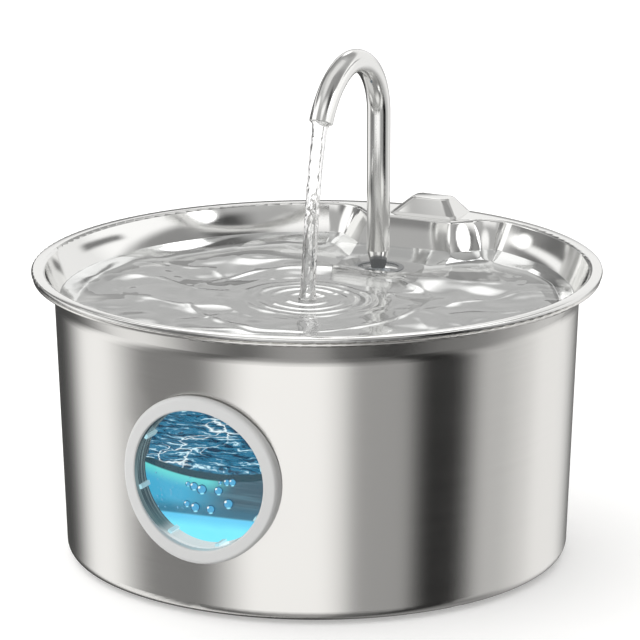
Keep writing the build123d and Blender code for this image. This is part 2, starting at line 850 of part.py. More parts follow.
vane_front_y = volute_front_y + bush_length + loose_gap
disc_y = vane_front_y + vane_height
magnet_back_y = well_end_y - bush_length - loose_gap
magnet_front_y = magnet_back_y - magnet_length

with BuildPart() as impeller:
    with BuildSketch(facing(disc_y, rotor_z)):
        Circle(impeller_r)
    extrude(amount=-disc_thickness)
    with BuildSketch(facing(vane_front_y, rotor_z)):
        Circle(vane_hub_r)
        with PolarLocations((impeller_r + vane_hub_r) / 2 - vane_width, vane_count):
            Rectangle(impeller_r - vane_hub_r + vane_width, vane_width)
    extrude(amount=-vane_height)
    with BuildSketch(facing(disc_y, rotor_z)):
        Circle(stem_r - fit_gap / 2)
    extrude(amount=disc_y - magnet_back_y)
    with BuildSketch(facing(vane_front_y, rotor_z)):
        Circle(shaft_r + fit_gap)
    extrude(amount=vane_front_y - magnet_back_y, mode=Mode.SUBTRACT)
save(impeller, "impeller")

with BuildPart() as rotor_magnet:
    with BuildSketch(facing(magnet_front_y, rotor_z)):
        Circle(magnet_r)
        Circle(stem_r, mode=Mode.SUBTRACT)
    extrude(amount=-magnet_length)
save(rotor_magnet, "rotor_magnet")

with BuildPart() as pump_screws:
    with BuildSketch(facing(volute_front_y, pump_middle_z)):
        with Locations(*screw_points):
            Circle(screw_head_r)
    extrude(amount=-screw_head)
    with BuildSketch(facing(volute_front_y, pump_middle_z)):
        with Locations(*screw_points):
            Circle(screw_r)
    extrude(amount=-screw_length)
    with BuildSketch(facing(volute_front_y, pump_middle_z)):
        with Locations(*screw_points):
            Rectangle(screw_head_r, screw_cross)
            Rectangle(screw_cross, screw_head_r)
    extrude(amount=-screw_head / 2, mode=Mode.SUBTRACT)
save(pump_screws, "pump_screws")

with BuildPart() as intake_cover:
    with BuildSketch(facing(cover_front_y, rotor_z)):
        Circle(cover_r)
    extrude(amount=-cover_plate)
    with BuildSketch(facing(cover_front_y + cover_plate, rotor_z)):
        Circle(cover_r)
        Circle(cover_r - cover_wall, mode=Mode.SUBTRACT)
    extrude(amount=-cover_collar)
    with BuildSketch(facing(cover_front_y, rotor_z)):
        with PolarLocations((dial_pin_r + cover_r) / 2, cover_slots):
            Rectangle(cover_r - dial_pin_r - 3 * cover_wall, cover_slot_width)
        Circle(dial_pin_r + fit_gap)
    extrude(amount=-cover_plate, mode=Mode.SUBTRACT)
save(intake_cover, "intake_cover")

dial_back_y = cover_front_y - 2 * fit_gap

with BuildPart() as flow_dial:
    with BuildSketch(facing(dial_back_y, rotor_z)):
        Circle(dial_r)
        with PolarLocations(dial_port_r, dial_ports):
            SlotOverall(dial_port_length, dial_port_width, mode=Mode.SUBTRACT)
    extrude(amount=dial_thickness)
    with BuildSketch(facing(dial_back_y - dial_thickness, rotor_z)):
        Rectangle(2 * dial_r - dial_grip, 2 * dial_grip)
    extrude(amount=dial_grip)
    with BuildSketch(facing(dial_back_y, rotor_z)):
        Circle(dial_pin_r)
    extrude(amount=loose_gap - cover_plate)
save(flow_dial, "flow_dial")

cup_points = [
    (side * (pump_width / 2 - cup_r), end)
    for side in (-1, 1)
    for end in (volute_front_y + cup_r, motor_back_y - cup_r)
]

with BuildPart() as suction_cups:
    with BuildSketch(Plane.XZ) as cup_profile:
        with BuildLine():
            Polyline(
                (0, pump_base_z),
                (cup_neck_r, pump_base_z),
                (cup_waist_r, floor_z + cup_waist_rise),
                (cup_r, floor_z),
                (cup_r - cup_lip, floor_z),
                (0, floor_z + cup_hollow),
                close=True,
            )
        make_face()
    cup = revolve(axis=Axis.Z, mode=Mode.PRIVATE)
    with Locations(*cup_points):
        add(cup)
save(suction_cups, "suction_cups")

# outlet sleeve from the pump's outlet to the spout's tail
sleeve_r = outlet_r + sleeve_wall
sleeve_low_z = pump_top_z + loose_gap
sleeve_step_z = outlet_top_z + fit_gap
sleeve_high_z = basin_floor_z - tray_sheet - sleeve_drop

with BuildPart() as outlet_sleeve:
    with BuildSketch(Plane.XY.offset(sleeve_low_z)):
        with Locations((0, spout_y)):
            Circle(sleeve_r)
    extrude(amount=sleeve_high_z - sleeve_low_z)
    with BuildSketch(Plane.XY.offset(sleeve_low_z)):
        with Locations((0, spout_y)):
            Circle(outlet_r + fit_gap)
    extrude(amount=sleeve_step_z - sleeve_low_z, mode=Mode.SUBTRACT)
    with BuildSketch(Plane.XY.offset(sleeve_step_z)):
        with Locations((0, spout_y)):
            Circle(neck_r + fit_gap)
    extrude(amount=sleeve_high_z - sleeve_step_z, mode=Mode.SUBTRACT)
save(outlet_sleeve, "outlet_sleeve")

# ---- light --------------------------------------------------------------------------------------

board_z = pump_top_z - pump_wall - 2 * board_thickness

with BuildPart() as led_board:
    with BuildSketch(Plane.XY.offset(board_z)):
        with Locations((0, led_y)):
            Rectangle(board_width, board_length)
    extrude(amount=board_thickness)
    with BuildSketch(Plane.XY.offset(board_z + board_thickness)):
        with Locations((0, led_y)):
            with GridLocations(led_pitch, led_pitch, 2, 2):
                Rectangle(led_chip, led_chip)
    extrude(amount=led_chip_height)
save(led_board, "led_board")

with BuildPart() as led_lens:
    with BuildSketch(Plane.XY.offset(pump_top_z - pump_wall)):
        with Locations((0, led_y)):
            Circle(led_r)
    extrude(amount=pump_wall)
    with BuildSketch(Plane.XY.offset(pump_top_z)):
        with Locations((0, led_y)):
            Circle(led_flange_r)
    extrude(amount=led_proud)
    fillet(led_lens.edges().group_by(Axis.Z)[-1], led_round)
save(led_lens, "led_lens")

# ---- cable inlet --------------------------------------------------------------------------------

with BuildPart() as cable_gland:
    with BuildSketch(gland_plane):
        Circle(gland_bore + fit_gap)
    extrude(amount=pump_wall)
    with BuildSketch(gland_plane.offset(pump_wall)):
        Circle(gland_r)
    extrude(amount=gland_length, taper=gland_taper)
save(cable_gland, "cable_gland")

cable_clip_y = tank_rim_r - cable_clip_length / 2 - hem_round

with BuildPart() as cable_clip:
    with BuildSketch(Plane.XY.offset(flange_top_z)):
        with Locations((tunnel_x, cable_clip_y)):
            Rectangle(2 * cable_clip_half, cable_clip_length)
    extrude(amount=cable_clip_height)
    with BuildSketch(Plane.XY.offset(flange_top_z + cable_slot_floor)):
        with Locations((tunnel_x, cable_clip_y)):
            Rectangle(2 * cable_slot_half, 2 * cable_clip_length)
    extrude(amount=cable_clip_height, mode=Mode.SUBTRACT)
save(cable_clip, "cable_clip")

# ---- filter cage --------------------------------------------------------------------------------

cage_middle_y = (cage_front_y + cage_back_y) / 2
grille_pitch = (2 * cage_half - 2 * grille_margin) / grille_bars
grille_height = cage_height - 2 * grille_margin
grille_width = grille_pitch - grille_bar

with BuildPart() as filter_cage:
    with BuildSketch(Plane.XY.offset(floor_z)):
        with Locations((0, cage_middle_y)):
            RectangleRounded(2 * cage_half, cage_depth, cage_corner_r)
    extrude(amount=cage_height)
    with BuildSketch(Plane.XY.offset(floor_z + cage_wall)):
        with Locations((0, cage_middle_y)):
            RectangleRounded(
                2 * (cage_half - cage_wall),
                cage_depth - 2 * cage_wall,
                cage_corner_r - cage_wall,
            )
    extrude(amount=cage_height, mode=Mode.SUBTRACT)
    with BuildSketch(facing(cage_front_y, floor_z + cage_height / 2)):
        with GridLocations(grille_pitch, 1, grille_bars, 1):
            SlotOverall(grille_height, grille_width, rotation=90)
    extrude(amount=-cage_depth, mode=Mode.SUBTRACT)
save(filter_cage, "filter_cage")

pocket_half = cage_half - cage_wall - loose_gap
pocket_back_y = cage_back_y - cage_wall - loose_gap
pocket_front_y = cage_front_y + cage_wall + loose_gap
pocket_low_z = floor_z + cage_wall
fill_height = cage_height - cage_wall - fill_drop
foam_front_y = pocket_back_y - foam_depth
cartridge_back_y = foam_front_y - loose_gap
cartridge_depth = cartridge_back_y - pocket_front_y
cartridge_middle_y = (cartridge_back_y + pocket_front_y) / 2

with BuildPart() as foam_block:
    with BuildSketch(Plane.XY.offset(pocket_low_z)):
        with Locations((0, pocket_back_y - foam_depth / 2)):
            RectangleRounded(2 * pocket_half, foam_depth, fill_corner_r)
    extrude(amount=fill_height)
save(foam_block, "foam_block")

with BuildPart() as cartridge_frame:
    with BuildSketch(Plane.XY.offset(pocket_low_z)):
        with Locations((0, cartridge_middle_y)):
            RectangleRounded(2 * pocket_half, cartridge_depth, fill_corner_r)
    extrude(amount=fill_height)
    with BuildSketch(facing(pocket_front_y, pocket_low_z + fill_height / 2)):
        Rectangle(2 * (pocket_half - cartridge_rim), fill_height - 2 * cartridge_rim)
    extrude(amount=-cartridge_depth, mode=Mode.SUBTRACT)
    with BuildSketch(Plane.XY.offset(pocket_low_z + fill_height)):
        with Locations((0, cartridge_middle_y)):
            Rectangle(2 * cartridge_tab_half, cartridge_rim)
    extrude(amount=cartridge_tab)
save(cartridge_frame, "cartridge_frame")

with BuildPart() as carbon_media:
    with BuildSketch(facing(pocket_front_y + fit_gap, pocket_low_z + fill_height / 2)):
        Rectangle(
            2 * (pocket_half - cartridge_rim - fit_gap),
            fill_height - 2 * cartridge_rim - 2 * fit_gap,
        )
    extrude(amount=2 * fit_gap - cartridge_depth)
save(carbon_media, "carbon_media")
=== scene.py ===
import math
import random

import bmesh
import bpy
from mathutils import Matrix, Vector, noise
from mathutils.bvhtree import BVHTree


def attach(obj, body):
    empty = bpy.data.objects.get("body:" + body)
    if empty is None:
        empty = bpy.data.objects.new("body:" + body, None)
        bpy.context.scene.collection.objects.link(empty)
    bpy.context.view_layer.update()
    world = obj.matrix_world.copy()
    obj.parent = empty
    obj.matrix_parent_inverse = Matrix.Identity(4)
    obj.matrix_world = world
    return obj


# Pet water fountain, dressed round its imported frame. Metres, in the frame's own axes:
# -Y is the front with the sight window, +Z is up.

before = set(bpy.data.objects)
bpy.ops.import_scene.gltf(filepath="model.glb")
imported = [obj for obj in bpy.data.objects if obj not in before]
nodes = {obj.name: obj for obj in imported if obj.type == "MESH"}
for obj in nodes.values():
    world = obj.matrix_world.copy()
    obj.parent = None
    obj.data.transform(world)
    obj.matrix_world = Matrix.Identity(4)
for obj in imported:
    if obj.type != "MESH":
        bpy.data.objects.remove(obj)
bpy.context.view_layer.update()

MM = 0.001

# ---- places that the water needs ----------------------------------------------------------------

basin_level = 95.1 * MM          # still water in the drinking tray
basin_under = 82.85 * MM         # middle of the tray's floor sheet
sheet_middle = 0.35 * MM         # how far water reaches into a steel sheet, so no air shows between
boss_top = 92.7 * MM
boss_half_x = 15.5 * MM
boss_half_y = 12.0 * MM
boss_corner = 6.0 * MM
spout_y = 52.6 * MM
splash_y = -8.0 * MM             # where the stream meets the basin
mouth = Vector((0.0, 3.4, 157.2)) * MM
mouth_bore = 3.75 * MM
tank_level = 54.0 * MM
tank_floor = 1.65 * MM
tank_reach = 0.2 * MM            # how far the tank's water reaches into its wall
tank_corner = 4.4 * MM
window_z = 51.2 * MM
window_water_y = -86.0 * MM      # front of the tank's water behind the lens
window_well_radius = 25.2 * MM
window_well_depth = 40.0 * MM

# what shows behind the lens, painted as glow on the tank's water and the lens retainer
waterline_z = 50.1 * MM          # painted dark waterline, at the middle of the window
waterline_bow = 5.6              # how it rises to the sides, per metre
bed_z = 35.7 * MM                # top of the painted bright glow of the bed, at the middle of the window
bed_slope = 0.03
painted_thread_x = -16.5 * MM            # middle of the patch of white threads of painted light
# heights where each painted glow of the lens retainer, teal and then bright, starts and is full
sleeve_painted_teal_glow = (40.0 * MM, 32.0 * MM)
sleeve_painted_bright_glow = (33.0 * MM, 28.0 * MM)
# the bezel's side that faces this way gets a painted shade
bezel_painted_shade_way = (0.86, 0.0, -0.51)

# how the pressed tray's walls and rim bend, per metre
wall_middle_z = 100.0 * MM
wall_hollow = 15.0
rim_roll_start = 99.0 * MM
rim_roll = 34.0
rim_line_pitch = 1.5 * MM
rim_line_depth = 0.03 * MM
rim_line_start = 100.4 * MM
rim_line_full = 101.2 * MM
# softly domed places of the pressing: middle in mm, reach in mm, lowest z in mm, bend across and up
soft_domes = (
    ((3.0, 92.0, 109.0), 40.0, 106.3, 6.0, 13.0),
    ((22.3, 80.9, 98.0), 7.0, 80.0, 14.0, 0.0),
)
dome_core = 0.8                  # share of a dome's reach where it is whole
dome_foot = 0.3                  # how far above its lowest place it is whole, in mm

# ---- studio -------------------------------------------------------------------------------------

camera_azimuth = 25.6
camera_elevation = 14.86
camera_distance = 1.52187
camera_lens = 237.41
camera_shift = 0.00484
camera_aim = Vector((0.0, 0.0, 0.0852))

# soft cards round the fountain: azimuth in degrees, half width, soft edge, level
low_cards = (
    (-89.0, 4.0, 32.0, 1.06),
    (12.0, 13.0, 30.0, 1.16),
    (56.0, 8.0, 12.0, 0.385),
    (117.0, 8.0, 16.0, 0.57),
    (153.0, 8.0, 32.0, 0.95),
    (-140.0, 8.0, 35.0, 0.06),
    (83.0, 5.0, 15.0, 0.0),
)
middle_cards = (
    (12.0, 14.0, 24.0, 1.0),
    (56.0, 8.0, 14.0, 0.52),
    (112.0, 34.0, 9.0, 1.15),
    (172.0, 20.0, 18.0, 0.95),
    (-126.0, 26.0, 14.0, 0.17),
)
high_cards = (
    (75.0, 6.0, 16.0, 0.07),
    (108.0, 10.0, 14.0, 0.30),
    (-100.0, 12.0, 16.0, 0.60),
    (-154.4, 30.0, 20.0, 0.36),
)
overhead_card = (70.0, 50.0, 45.0, 0.34)
below_card = (-112.0, 56.0, 24.0)
# strips that lean: slope in elevation over azimuth, elevation at azimuth 0, half width, soft edge,
# the azimuth, half width and soft edge of the card that holds them, level
leaning_strips = (
    (0.4, 72.8, 0.8, 2.6, (138.0, 9.0, 7.0), 0.20),
    (-0.38, 55.6, 0.8, 3.2, (-107.0, 17.0, 5.0), 1.1),
)
# round soft lamps: azimuth, elevation, radius, soft edge, level
lamps = (
    (29.0, 50.0, 8.0, 10.0, 1.15),
    (-82.0, 21.0, 3.0, 3.5, 1.8),
    (-58.0, 31.0, 14.0, 8.0, 1.25),
    (-154.4, 31.0, 1.5, 9.0, 1.8),
)
low_level = 0.235
middle_level = 0.26
high_level = 0.46
rear_level = 0.98
top_level = 0.85
# elevations between which one part of the light turns into the next
middle_starts = (-8.0, 3.0)
high_starts = (27.0, 35.0)
overhead_starts = (46.0, 68.0)
rear_starts = (3.0, 11.0)
rear_ends = (26.0, 19.0)
below_starts = (-20.0, -52.0)
# light from below: share and least level, and the share in front of its card
below_share, below_least, below_kept = 0.28, 0.03, 0.9
# what shows through glass and water: half width and soft edge, level beside it, top
backdrop_azimuth = camera_azimuth - 180.0
rear_width = (16.0, 14.0)
backdrop_width = (14.0, 20.0)
backdrop_dark = 0.08
backdrop_ends = (2.0, 14.0)
# plain light for matt surfaces: elevations, level from under and over, loss towards +X
plain_span = (-60.0, 60.0)
plain_under, plain_over, plain_loss = 0.70, 1.2, 0.62
studio_tint = (1.0, 0.995, 0.985, 1.0)
floor_reach = 8.0
floor_glow = 0.22
near_lamp_aim = Vector((22.3, 80.9, 98.0)) * MM
near_lamp_place = Vector((205.0, 25.0, 259.0)) * MM
near_lamp_radius = 0.04
near_lamp_level = 1.4


def way_to(azimuth, elevation):
    """Unit vector at an azimuth, counted from the front to the right, and an elevation."""
    turn, tilt = math.radians(azimuth), math.radians(elevation)
    return Vector((
        math.sin(turn) * math.cos(tilt),
        -math.cos(turn) * math.cos(tilt),
        math.sin(tilt),
    ))


def smooth_step(tree, value, low, high):
    """A smooth ramp from 0 at low to 1 at high."""
    ramp = tree.nodes.new("ShaderNodeMapRange")
    ramp.interpolation_type = "SMOOTHSTEP"
    ramp.inputs["From Min"].default_value = low
    ramp.inputs["From Max"].default_value = high
    tree.links.new(value, ramp.inputs["Value"])
    return ramp.outputs["Result"]


def math_node(tree, operation, first, second=None):
    """One math step. first and second are sockets or numbers."""
    node = tree.nodes.new("ShaderNodeMath")
    node.operation = operation
    for place, value in enumerate((first, second)):
        if value is None:
            continue
        if isinstance(value, (int, float)):
            node.inputs[place].default_value = value
        else:
            tree.links.new(value, node.inputs[place])
    return node.outputs[0]


def product(tree, first, second):
    return math_node(tree, "MULTIPLY", first, second)


def square(tree, value):
    return product(tree, value, value)


def aligned(tree, socket, way):
    """Dot product of a direction socket and a fixed direction."""
    dot = tree.nodes.new("ShaderNodeVectorMath")
    dot.operation = "DOT_PRODUCT"
    tree.links.new(socket, dot.inputs[0])
    dot.inputs[1].default_value = way
    return dot.outputs["Value"]


def object_axes(tree):
    """Object coordinates as x, y and z."""
    split = tree.nodes.new("ShaderNodeSeparateXYZ")
    tree.links.new(tree.nodes.new("ShaderNodeTexCoord").outputs["Object"], split.inputs[0])
    return tuple(split.outputs)


def mix_value(tree, factor, first, second):
    """Blend of two numbers or sockets."""
    node = tree.nodes.new("ShaderNodeMix")
    node.data_type = "FLOAT"
    for place, value in ((0, factor), (2, first), (3, second)):
        if isinstance(value, (int, float)):
            node.inputs[place].default_value = value
        else:
            tree.links.new(value, node.inputs[place])
    return node.outputs[0]


def mix_colour(tree, factor, first, second, blend="MIX"):
    """Blend of two colours or sockets."""
    node = tree.nodes.new("ShaderNodeMix")
    node.data_type = "RGBA"
    node.blend_type = blend
    for place, value in ((0, factor), (6, first), (7, second)):
        if isinstance(value, (int, float)):
            node.inputs[place].default_value = value
        elif isinstance(value, tuple):
            node.inputs[place].default_value = (*value, 1.0)
        else:
            tree.links.new(value, node.inputs[place])
    return node.outputs[2]


def build_studio_light():
    """World light: soft upright cards that bright metal mirrors, plain light for matt surfaces."""
    world = bpy.data.worlds.new("studio")
    bpy.context.scene.world = world
    world.use_nodes = True
    tree = world.node_tree
    tree.nodes.clear()
    new, links = tree.nodes.new, tree.links
    direction = new("ShaderNodeTexCoord").outputs["Generated"]
    split = new("ShaderNodeSeparateXYZ")
    links.new(direction, split.inputs[0])
    east, north, height = split.outputs
    azimuth = math_node(tree, "ARCTAN2", east, product(tree, north, -1.0))
    azimuth = product(tree, azimuth, math.degrees(1.0))
    elevation = product(tree, math_node(tree, "ARCSINE", height), math.degrees(1.0))

    def rise(span):
        return smooth_step(tree, elevation, *span)

    def beside(centre, half, soft):
        """1 within half of an azimuth, 0 beyond its soft edge."""
        away = math_node(tree, "WRAP", math_node(tree, "SUBTRACT", azimuth, centre), 180.0)
        away.node.inputs[2].default_value = -180.0
        return smooth_step(tree, math_node(tree, "ABSOLUTE", away), half + soft, half)

    def card(level, centre, half, soft, strength):
        return mix_value(tree, beside(centre, half, soft), level, strength)

    low, middle, high = low_level, middle_level, high_level
    for row in low_cards:
        low = card(low, *row)
    for row in middle_cards:
        middle = card(middle, *row)
    for row in high_cards:
        high = card(high, *row)
    for slope, line, half, soft, holder, strength in leaning_strips:
        lean = math_node(tree, "ADD", product(tree, azimuth, slope), elevation)
        lean = math_node(tree, "ABSOLUTE", math_node(tree, "SUBTRACT", lean, line))
        strip = product(tree, smooth_step(tree, lean, half + soft, half), beside(*holder))
        middle = mix_value(tree, strip, middle, strength)

    level = mix_value(tree, rise(middle_starts), low, middle)
    level = mix_value(tree, rise(high_starts), level, high)
    rear = product(tree, rise(rear_starts), rise(rear_ends))
    rear = product(tree, beside(backdrop_azimuth, *rear_width), rear)
    level = mix_value(tree, rear, level, rear_level)
    for centre, height_up, radius, soft, strength in lamps:
        near = aligned(tree, direction, way_to(centre, height_up))
        edge, full = math.cos(math.radians(radius + soft)), math.cos(math.radians(radius))
        level = mix_value(tree, smooth_step(tree, near, edge, full), level, strength)
    level = mix_value(tree, rise(overhead_starts), level, card(top_level, *overhead_card))
    dim = math_node(tree, "ADD", product(tree, level, below_share), below_least)
    below_level = mix_value(tree, beside(*below_card), dim, product(tree, level, below_kept))
    mirrored = mix_value(tree, rise(below_starts), level, below_level)

    backdrop = mix_value(tree, beside(backdrop_azimuth, *backdrop_width), backdrop_dark, 1.0)
    seen_through = mix_value(tree, rise(backdrop_ends), backdrop, mirrored)

    across = math_node(tree, "ADD", product(tree, east, -plain_loss), 1.0)
    plain = product(tree, mix_value(tree, rise(plain_span), plain_under, plain_over), across)

    path = new("ShaderNodeLightPath")
    strength = mix_value(tree, path.outputs["Is Glossy Ray"], plain, mirrored)
    strength = mix_value(tree, path.outputs["Is Transmission Ray"], strength, seen_through)
    strength = mix_value(tree, path.outputs["Is Camera Ray"], strength, 1.0)
    background = new("ShaderNodeBackground")
    background.inputs["Color"].default_value = studio_tint
    links.new(strength, background.inputs["Strength"])
    links.new(background.outputs[0], new("ShaderNodeOutputWorld").inputs["Surface"])


def build_near_lamp():
    """A small soft lamp to the right of the deck, which only bright metal mirrors."""
    data = bpy.data.lights.new("near_lamp", "AREA")
    data.shape, data.size = "DISK", 2.0 * near_lamp_radius
    data.energy = near_lamp_level * 4.0 * math.pi * near_lamp_radius ** 2
    lamp = bpy.data.objects.new("near_lamp", data)
    bpy.context.scene.collection.objects.link(lamp)
    lamp.location = near_lamp_place
    lamp.rotation_euler = (near_lamp_place - near_lamp_aim).to_track_quat("Z", "Y").to_euler()
    lamp.visible_camera = lamp.visible_diffuse = lamp.visible_transmission = False


def build_camera():
    """Camera with a long lens, a little above the rim."""
    data = bpy.data.cameras.new("camera")
    data.lens = camera_lens
    data.shift_x = camera_shift
    data.clip_start, data.clip_end = 0.05, 50.0
    camera = bpy.data.objects.new("camera", data)
    bpy.context.scene.collection.objects.link(camera)
    back = way_to(camera_azimuth, camera_elevation)
    camera.location = camera_aim + back * camera_distance
    camera.rotation_euler = (-back).to_track_quat("-Z", "Y").to_euler()
    bpy.context.scene.camera = camera


def new_object(name, bm):
    """A mesh object at the origin from a bmesh, smooth shaded."""
    mesh = bpy.data.meshes.new(name)
    bm.to_mesh(mesh)
    bm.free()
    piece = bpy.data.objects.new(name, mesh)
    bpy.context.scene.collection.objects.link(piece)
    mesh.polygons.foreach_set("use_smooth", [True] * len(mesh.polygons))
    return piece


def build_floor():
    """Pale floor that keeps the fountain's shadow and stays out of the metal's reflections."""
    bm = bmesh.new()
    bmesh.ops.create_grid(bm, x_segments=1, y_segments=1, size=floor_reach)
    floor = new_object("floor", bm)
    material = bpy.data.materials.new("floor_white")
    material.use_nodes = True
    tree = material.node_tree
    shader = tree.nodes["Principled BSDF"]
    shader.inputs["Base Color"].default_value = (0.9, 0.9, 0.9, 1.0)
    shader.inputs["Roughness"].default_value = 1.0
    shader.inputs["Specular IOR Level"].default_value = 0.0
    shader.inputs["Emission Color"].default_value = (1.0, 1.0, 1.0, 1.0)
    path = tree.nodes.new("ShaderNodeLightPath")
    shown = math_node(
        tree, "MAXIMUM", path.outputs["Is Camera Ray"], path.outputs["Is Transmission Ray"]
    )
    tree.links.new(product(tree, shown, floor_glow), shader.inputs["Emission Strength"])
    floor.data.materials.append(material)
    floor.visible_glossy = False


# ---- finishes -----------------------------------------------------------------------------------


def finish(name, colour, roughness, metallic=0.0, **sockets):
    """A new material with its plain values on the shader's own sockets."""
    material = bpy.data.materials.new(name)
    material.use_nodes = True
    shader = material.node_tree.nodes["Principled BSDF"]
    shader.inputs["Base Color"].default_value = (*colour, 1.0)
    shader.inputs["Roughness"].default_value = roughness
    shader.inputs["Metallic"].default_value = metallic
    for socket, value in sockets.items():
        shader.inputs[socket.replace("_", " ")].default_value = value
    return material


def shader_of(material):
    return material.node_tree.nodes["Principled BSDF"]


def stretched(material, scale):
    """Object coordinates stretched by a scale per axis."""
    tree = material.node_tree
    place = tree.nodes.new("ShaderNodeTexCoord")
    mapping = tree.nodes.new("ShaderNodeMapping")
    mapping.inputs["Scale"].default_value = scale
    tree.links.new(place.outputs["Object"], mapping.inputs["Vector"])
    return mapping.outputs[0]


def noise_on(material, scale, detail=2.0, roughness=0.5, kind="ShaderNodeTexNoise"):
    """Noise in object space. scale is lines per metre for each axis."""
    tree = material.node_tree
    texture = tree.nodes.new(kind)
    tree.links.new(stretched(material, scale), texture.inputs["Vector"])
    texture.inputs["Scale"].default_value = 1.0
    if kind == "ShaderNodeTexNoise":
        texture.inputs["Detail"].default_value = detail
        texture.inputs["Roughness"].default_value = roughness
        return texture.outputs["Fac"]
    return texture.outputs[0]


def add_bump(material, height, strength, distance):
    """Small relief from a height socket."""
    tree = material.node_tree
    bump = tree.nodes.new("ShaderNodeBump")
    bump.inputs["Strength"].default_value = strength
    bump.inputs["Distance"].default_value = distance
    tree.links.new(height, bump.inputs["Height"])
    shader = shader_of(material)
    if shader.inputs["Normal"].links:
        tree.links.new(shader.inputs["Normal"].links[0].from_socket, bump.inputs["Normal"])
    tree.links.new(bump.outputs[0], shader.inputs["Normal"])


def vary_colour(material, factor, low, high):
    """Base colour between two tones."""
    tree = material.node_tree
    tree.links.new(mix_colour(tree, factor, low, high), shader_of(material).inputs["Base Color"])


def vary_roughness(material, factor, low, high):
    tree = material.node_tree
    tree.links.new(mix_value(tree, factor, low, high), shader_of(material).inputs["Roughness"])


def brushed_steel():
    """Deep-drawn steel, brushed round the bowl."""
    material = finish(
        "steel_brushed_round", (0.80, 0.79, 0.77), 0.2, 1.0,
        Anisotropic=0.7, Anisotropic_Rotation=0.25,
    )
    tree = material.node_tree
    tangent = tree.nodes.new("ShaderNodeTangent")
    tangent.direction_type, tangent.axis = "RADIAL", "Z"
    tree.links.new(tangent.outputs[0], shader_of(material).inputs["Tangent"])
    grain = noise_on(material, (14.0, 14.0, 2600.0), 3.0, 0.6)
    vary_roughness(material, grain, 0.16, 0.24)
    vary_colour(material, grain, (0.78, 0.77, 0.75), (0.83, 0.82, 0.80))
    add_bump(material, grain, 0.05, 0.0001)
    return material


def polished_steel(name, roughness, wave):
    """Bright pressed steel with the faint waves of a pressing."""
    material = finish(name, (0.84, 0.84, 0.83), roughness, 1.0)
    swirl = noise_on(material, (46.0, 46.0, 46.0), 1.0, 0.4)
    add_bump(material, swirl, wave, 0.0006)
    marks = noise_on(material, (900.0, 60.0, 60.0), 3.0, 0.7)
    vary_roughness(material, marks, roughness * 0.7, roughness * 1.4)
    return material


def pressed_tray_steel():
    """The tray's steel: walls a little hollow from floor to lip, and a rim that rolls outwards."""
    material = polished_steel("steel_polished", 0.085, 0.12)
    tree = material.node_tree
    x, y, z = object_axes(tree)
    hollow = product(tree, square(tree, math_node(tree, "SUBTRACT", z, wall_middle_z)), wall_hollow)
    out = math_node(tree, "SQRT", math_node(tree, "ADD", square(tree, x), square(tree, y)))
    beyond = math_node(tree, "MAXIMUM", math_node(tree, "SUBTRACT", out, rim_roll_start), 0.0)
    roll = product(tree, square(tree, beyond), -rim_roll)
    lines = math_node(tree, "SINE", product(tree, z, 2.0 * math.pi / rim_line_pitch))
    on_rim = smooth_step(tree, out, rim_line_start, rim_line_full)
    lines = product(tree, product(tree, lines, on_rim), rim_line_depth)
    add_bump(
        material, math_node(tree, "ADD", math_node(tree, "ADD", hollow, roll), lines), 1.0, 1.0
    )
    for middle, reach, lowest, bend_across, bend_up in soft_domes:
        squares = [
            square(tree, math_node(tree, "SUBTRACT", place, centre * MM))
            for place, centre in zip((x, y, z), middle)
        ]
        flat = math_node(tree, "ADD", squares[0], squares[1])
        height = math_node(
            tree, "ADD", product(tree, flat, -bend_across), product(tree, squares[2], -bend_up)
        )
        near = smooth_step(tree, flat, (reach * MM) ** 2, (dome_core * reach * MM) ** 2)
        above = smooth_step(tree, z, lowest * MM, (lowest + dome_foot) * MM)
        plain = shader_of(material).inputs["Normal"].links[0].from_socket
        add_bump(material, height, 1.0, 1.0)
        blend = tree.nodes.new("ShaderNodeMix")
        blend.data_type = "VECTOR"
        tree.links.new(product(tree, near, above), blend.inputs[0])
        tree.links.new(plain, blend.inputs[4])
        tree.links.new(shader_of(material).inputs["Normal"].links[0].from_socket, blend.inputs[5])
        tree.links.new(blend.outputs[1], shader_of(material).inputs["Normal"])
    return material


def moulded(name, colour, roughness, grain=900.0, relief=0.08):
    """Moulded plastic with a fine spark-eroded grain."""
    material = finish(name, colour, roughness)
    texture = noise_on(material, (grain, grain, grain), 2.0, 0.5)
    add_bump(material, texture, relief, 0.0001)
    cloud = noise_on(material, (30.0, 30.0, 30.0), 2.0, 0.5)
    darker = tuple(0.95 * c for c in colour)
    vary_colour(material, cloud, darker, colour)
    vary_roughness(material, texture, roughness * 0.9, roughness * 1.12)
    return material


def clear(name, colour, roughness=0.0, ior=1.46, weight=1.0):
    """Clear plastic, glass or water."""
    return finish(name, colour, roughness, 0.0, Transmission_Weight=weight, IOR=ior)


def banded(name, low, high, roughness, metallic, axis, pitch, relief):
    """Thin layers or windings that repeat at a pitch along one axis."""
    material = finish(name, high, roughness, metallic)
    tree = material.node_tree
    wave = tree.nodes.new("ShaderNodeTexWave")
    wave.wave_type, wave.bands_direction = "BANDS", axis
    wave.inputs["Scale"].default_value = 1.0
    wave.inputs["Distortion"].default_value = 0.0
    scale = 2.0 * math.pi / (20.0 * pitch)
    tree.links.new(stretched(material, (scale, scale, scale)), wave.inputs["Vector"])
    vary_colour(material, wave.outputs["Fac"], low, high)
    add_bump(material, wave.outputs["Fac"], relief, pitch)
    return material


def granular(name, low, high, cell, relief):
    """Open foam or pressed granules."""
    material = finish(name, high, 0.85)
    per_metre = 1.0 / cell
    cells = noise_on(material, (per_metre,) * 3, kind="ShaderNodeTexVoronoi")
    vary_colour(material, cells, low, high)
    add_bump(material, cells, relief, cell)
    return material


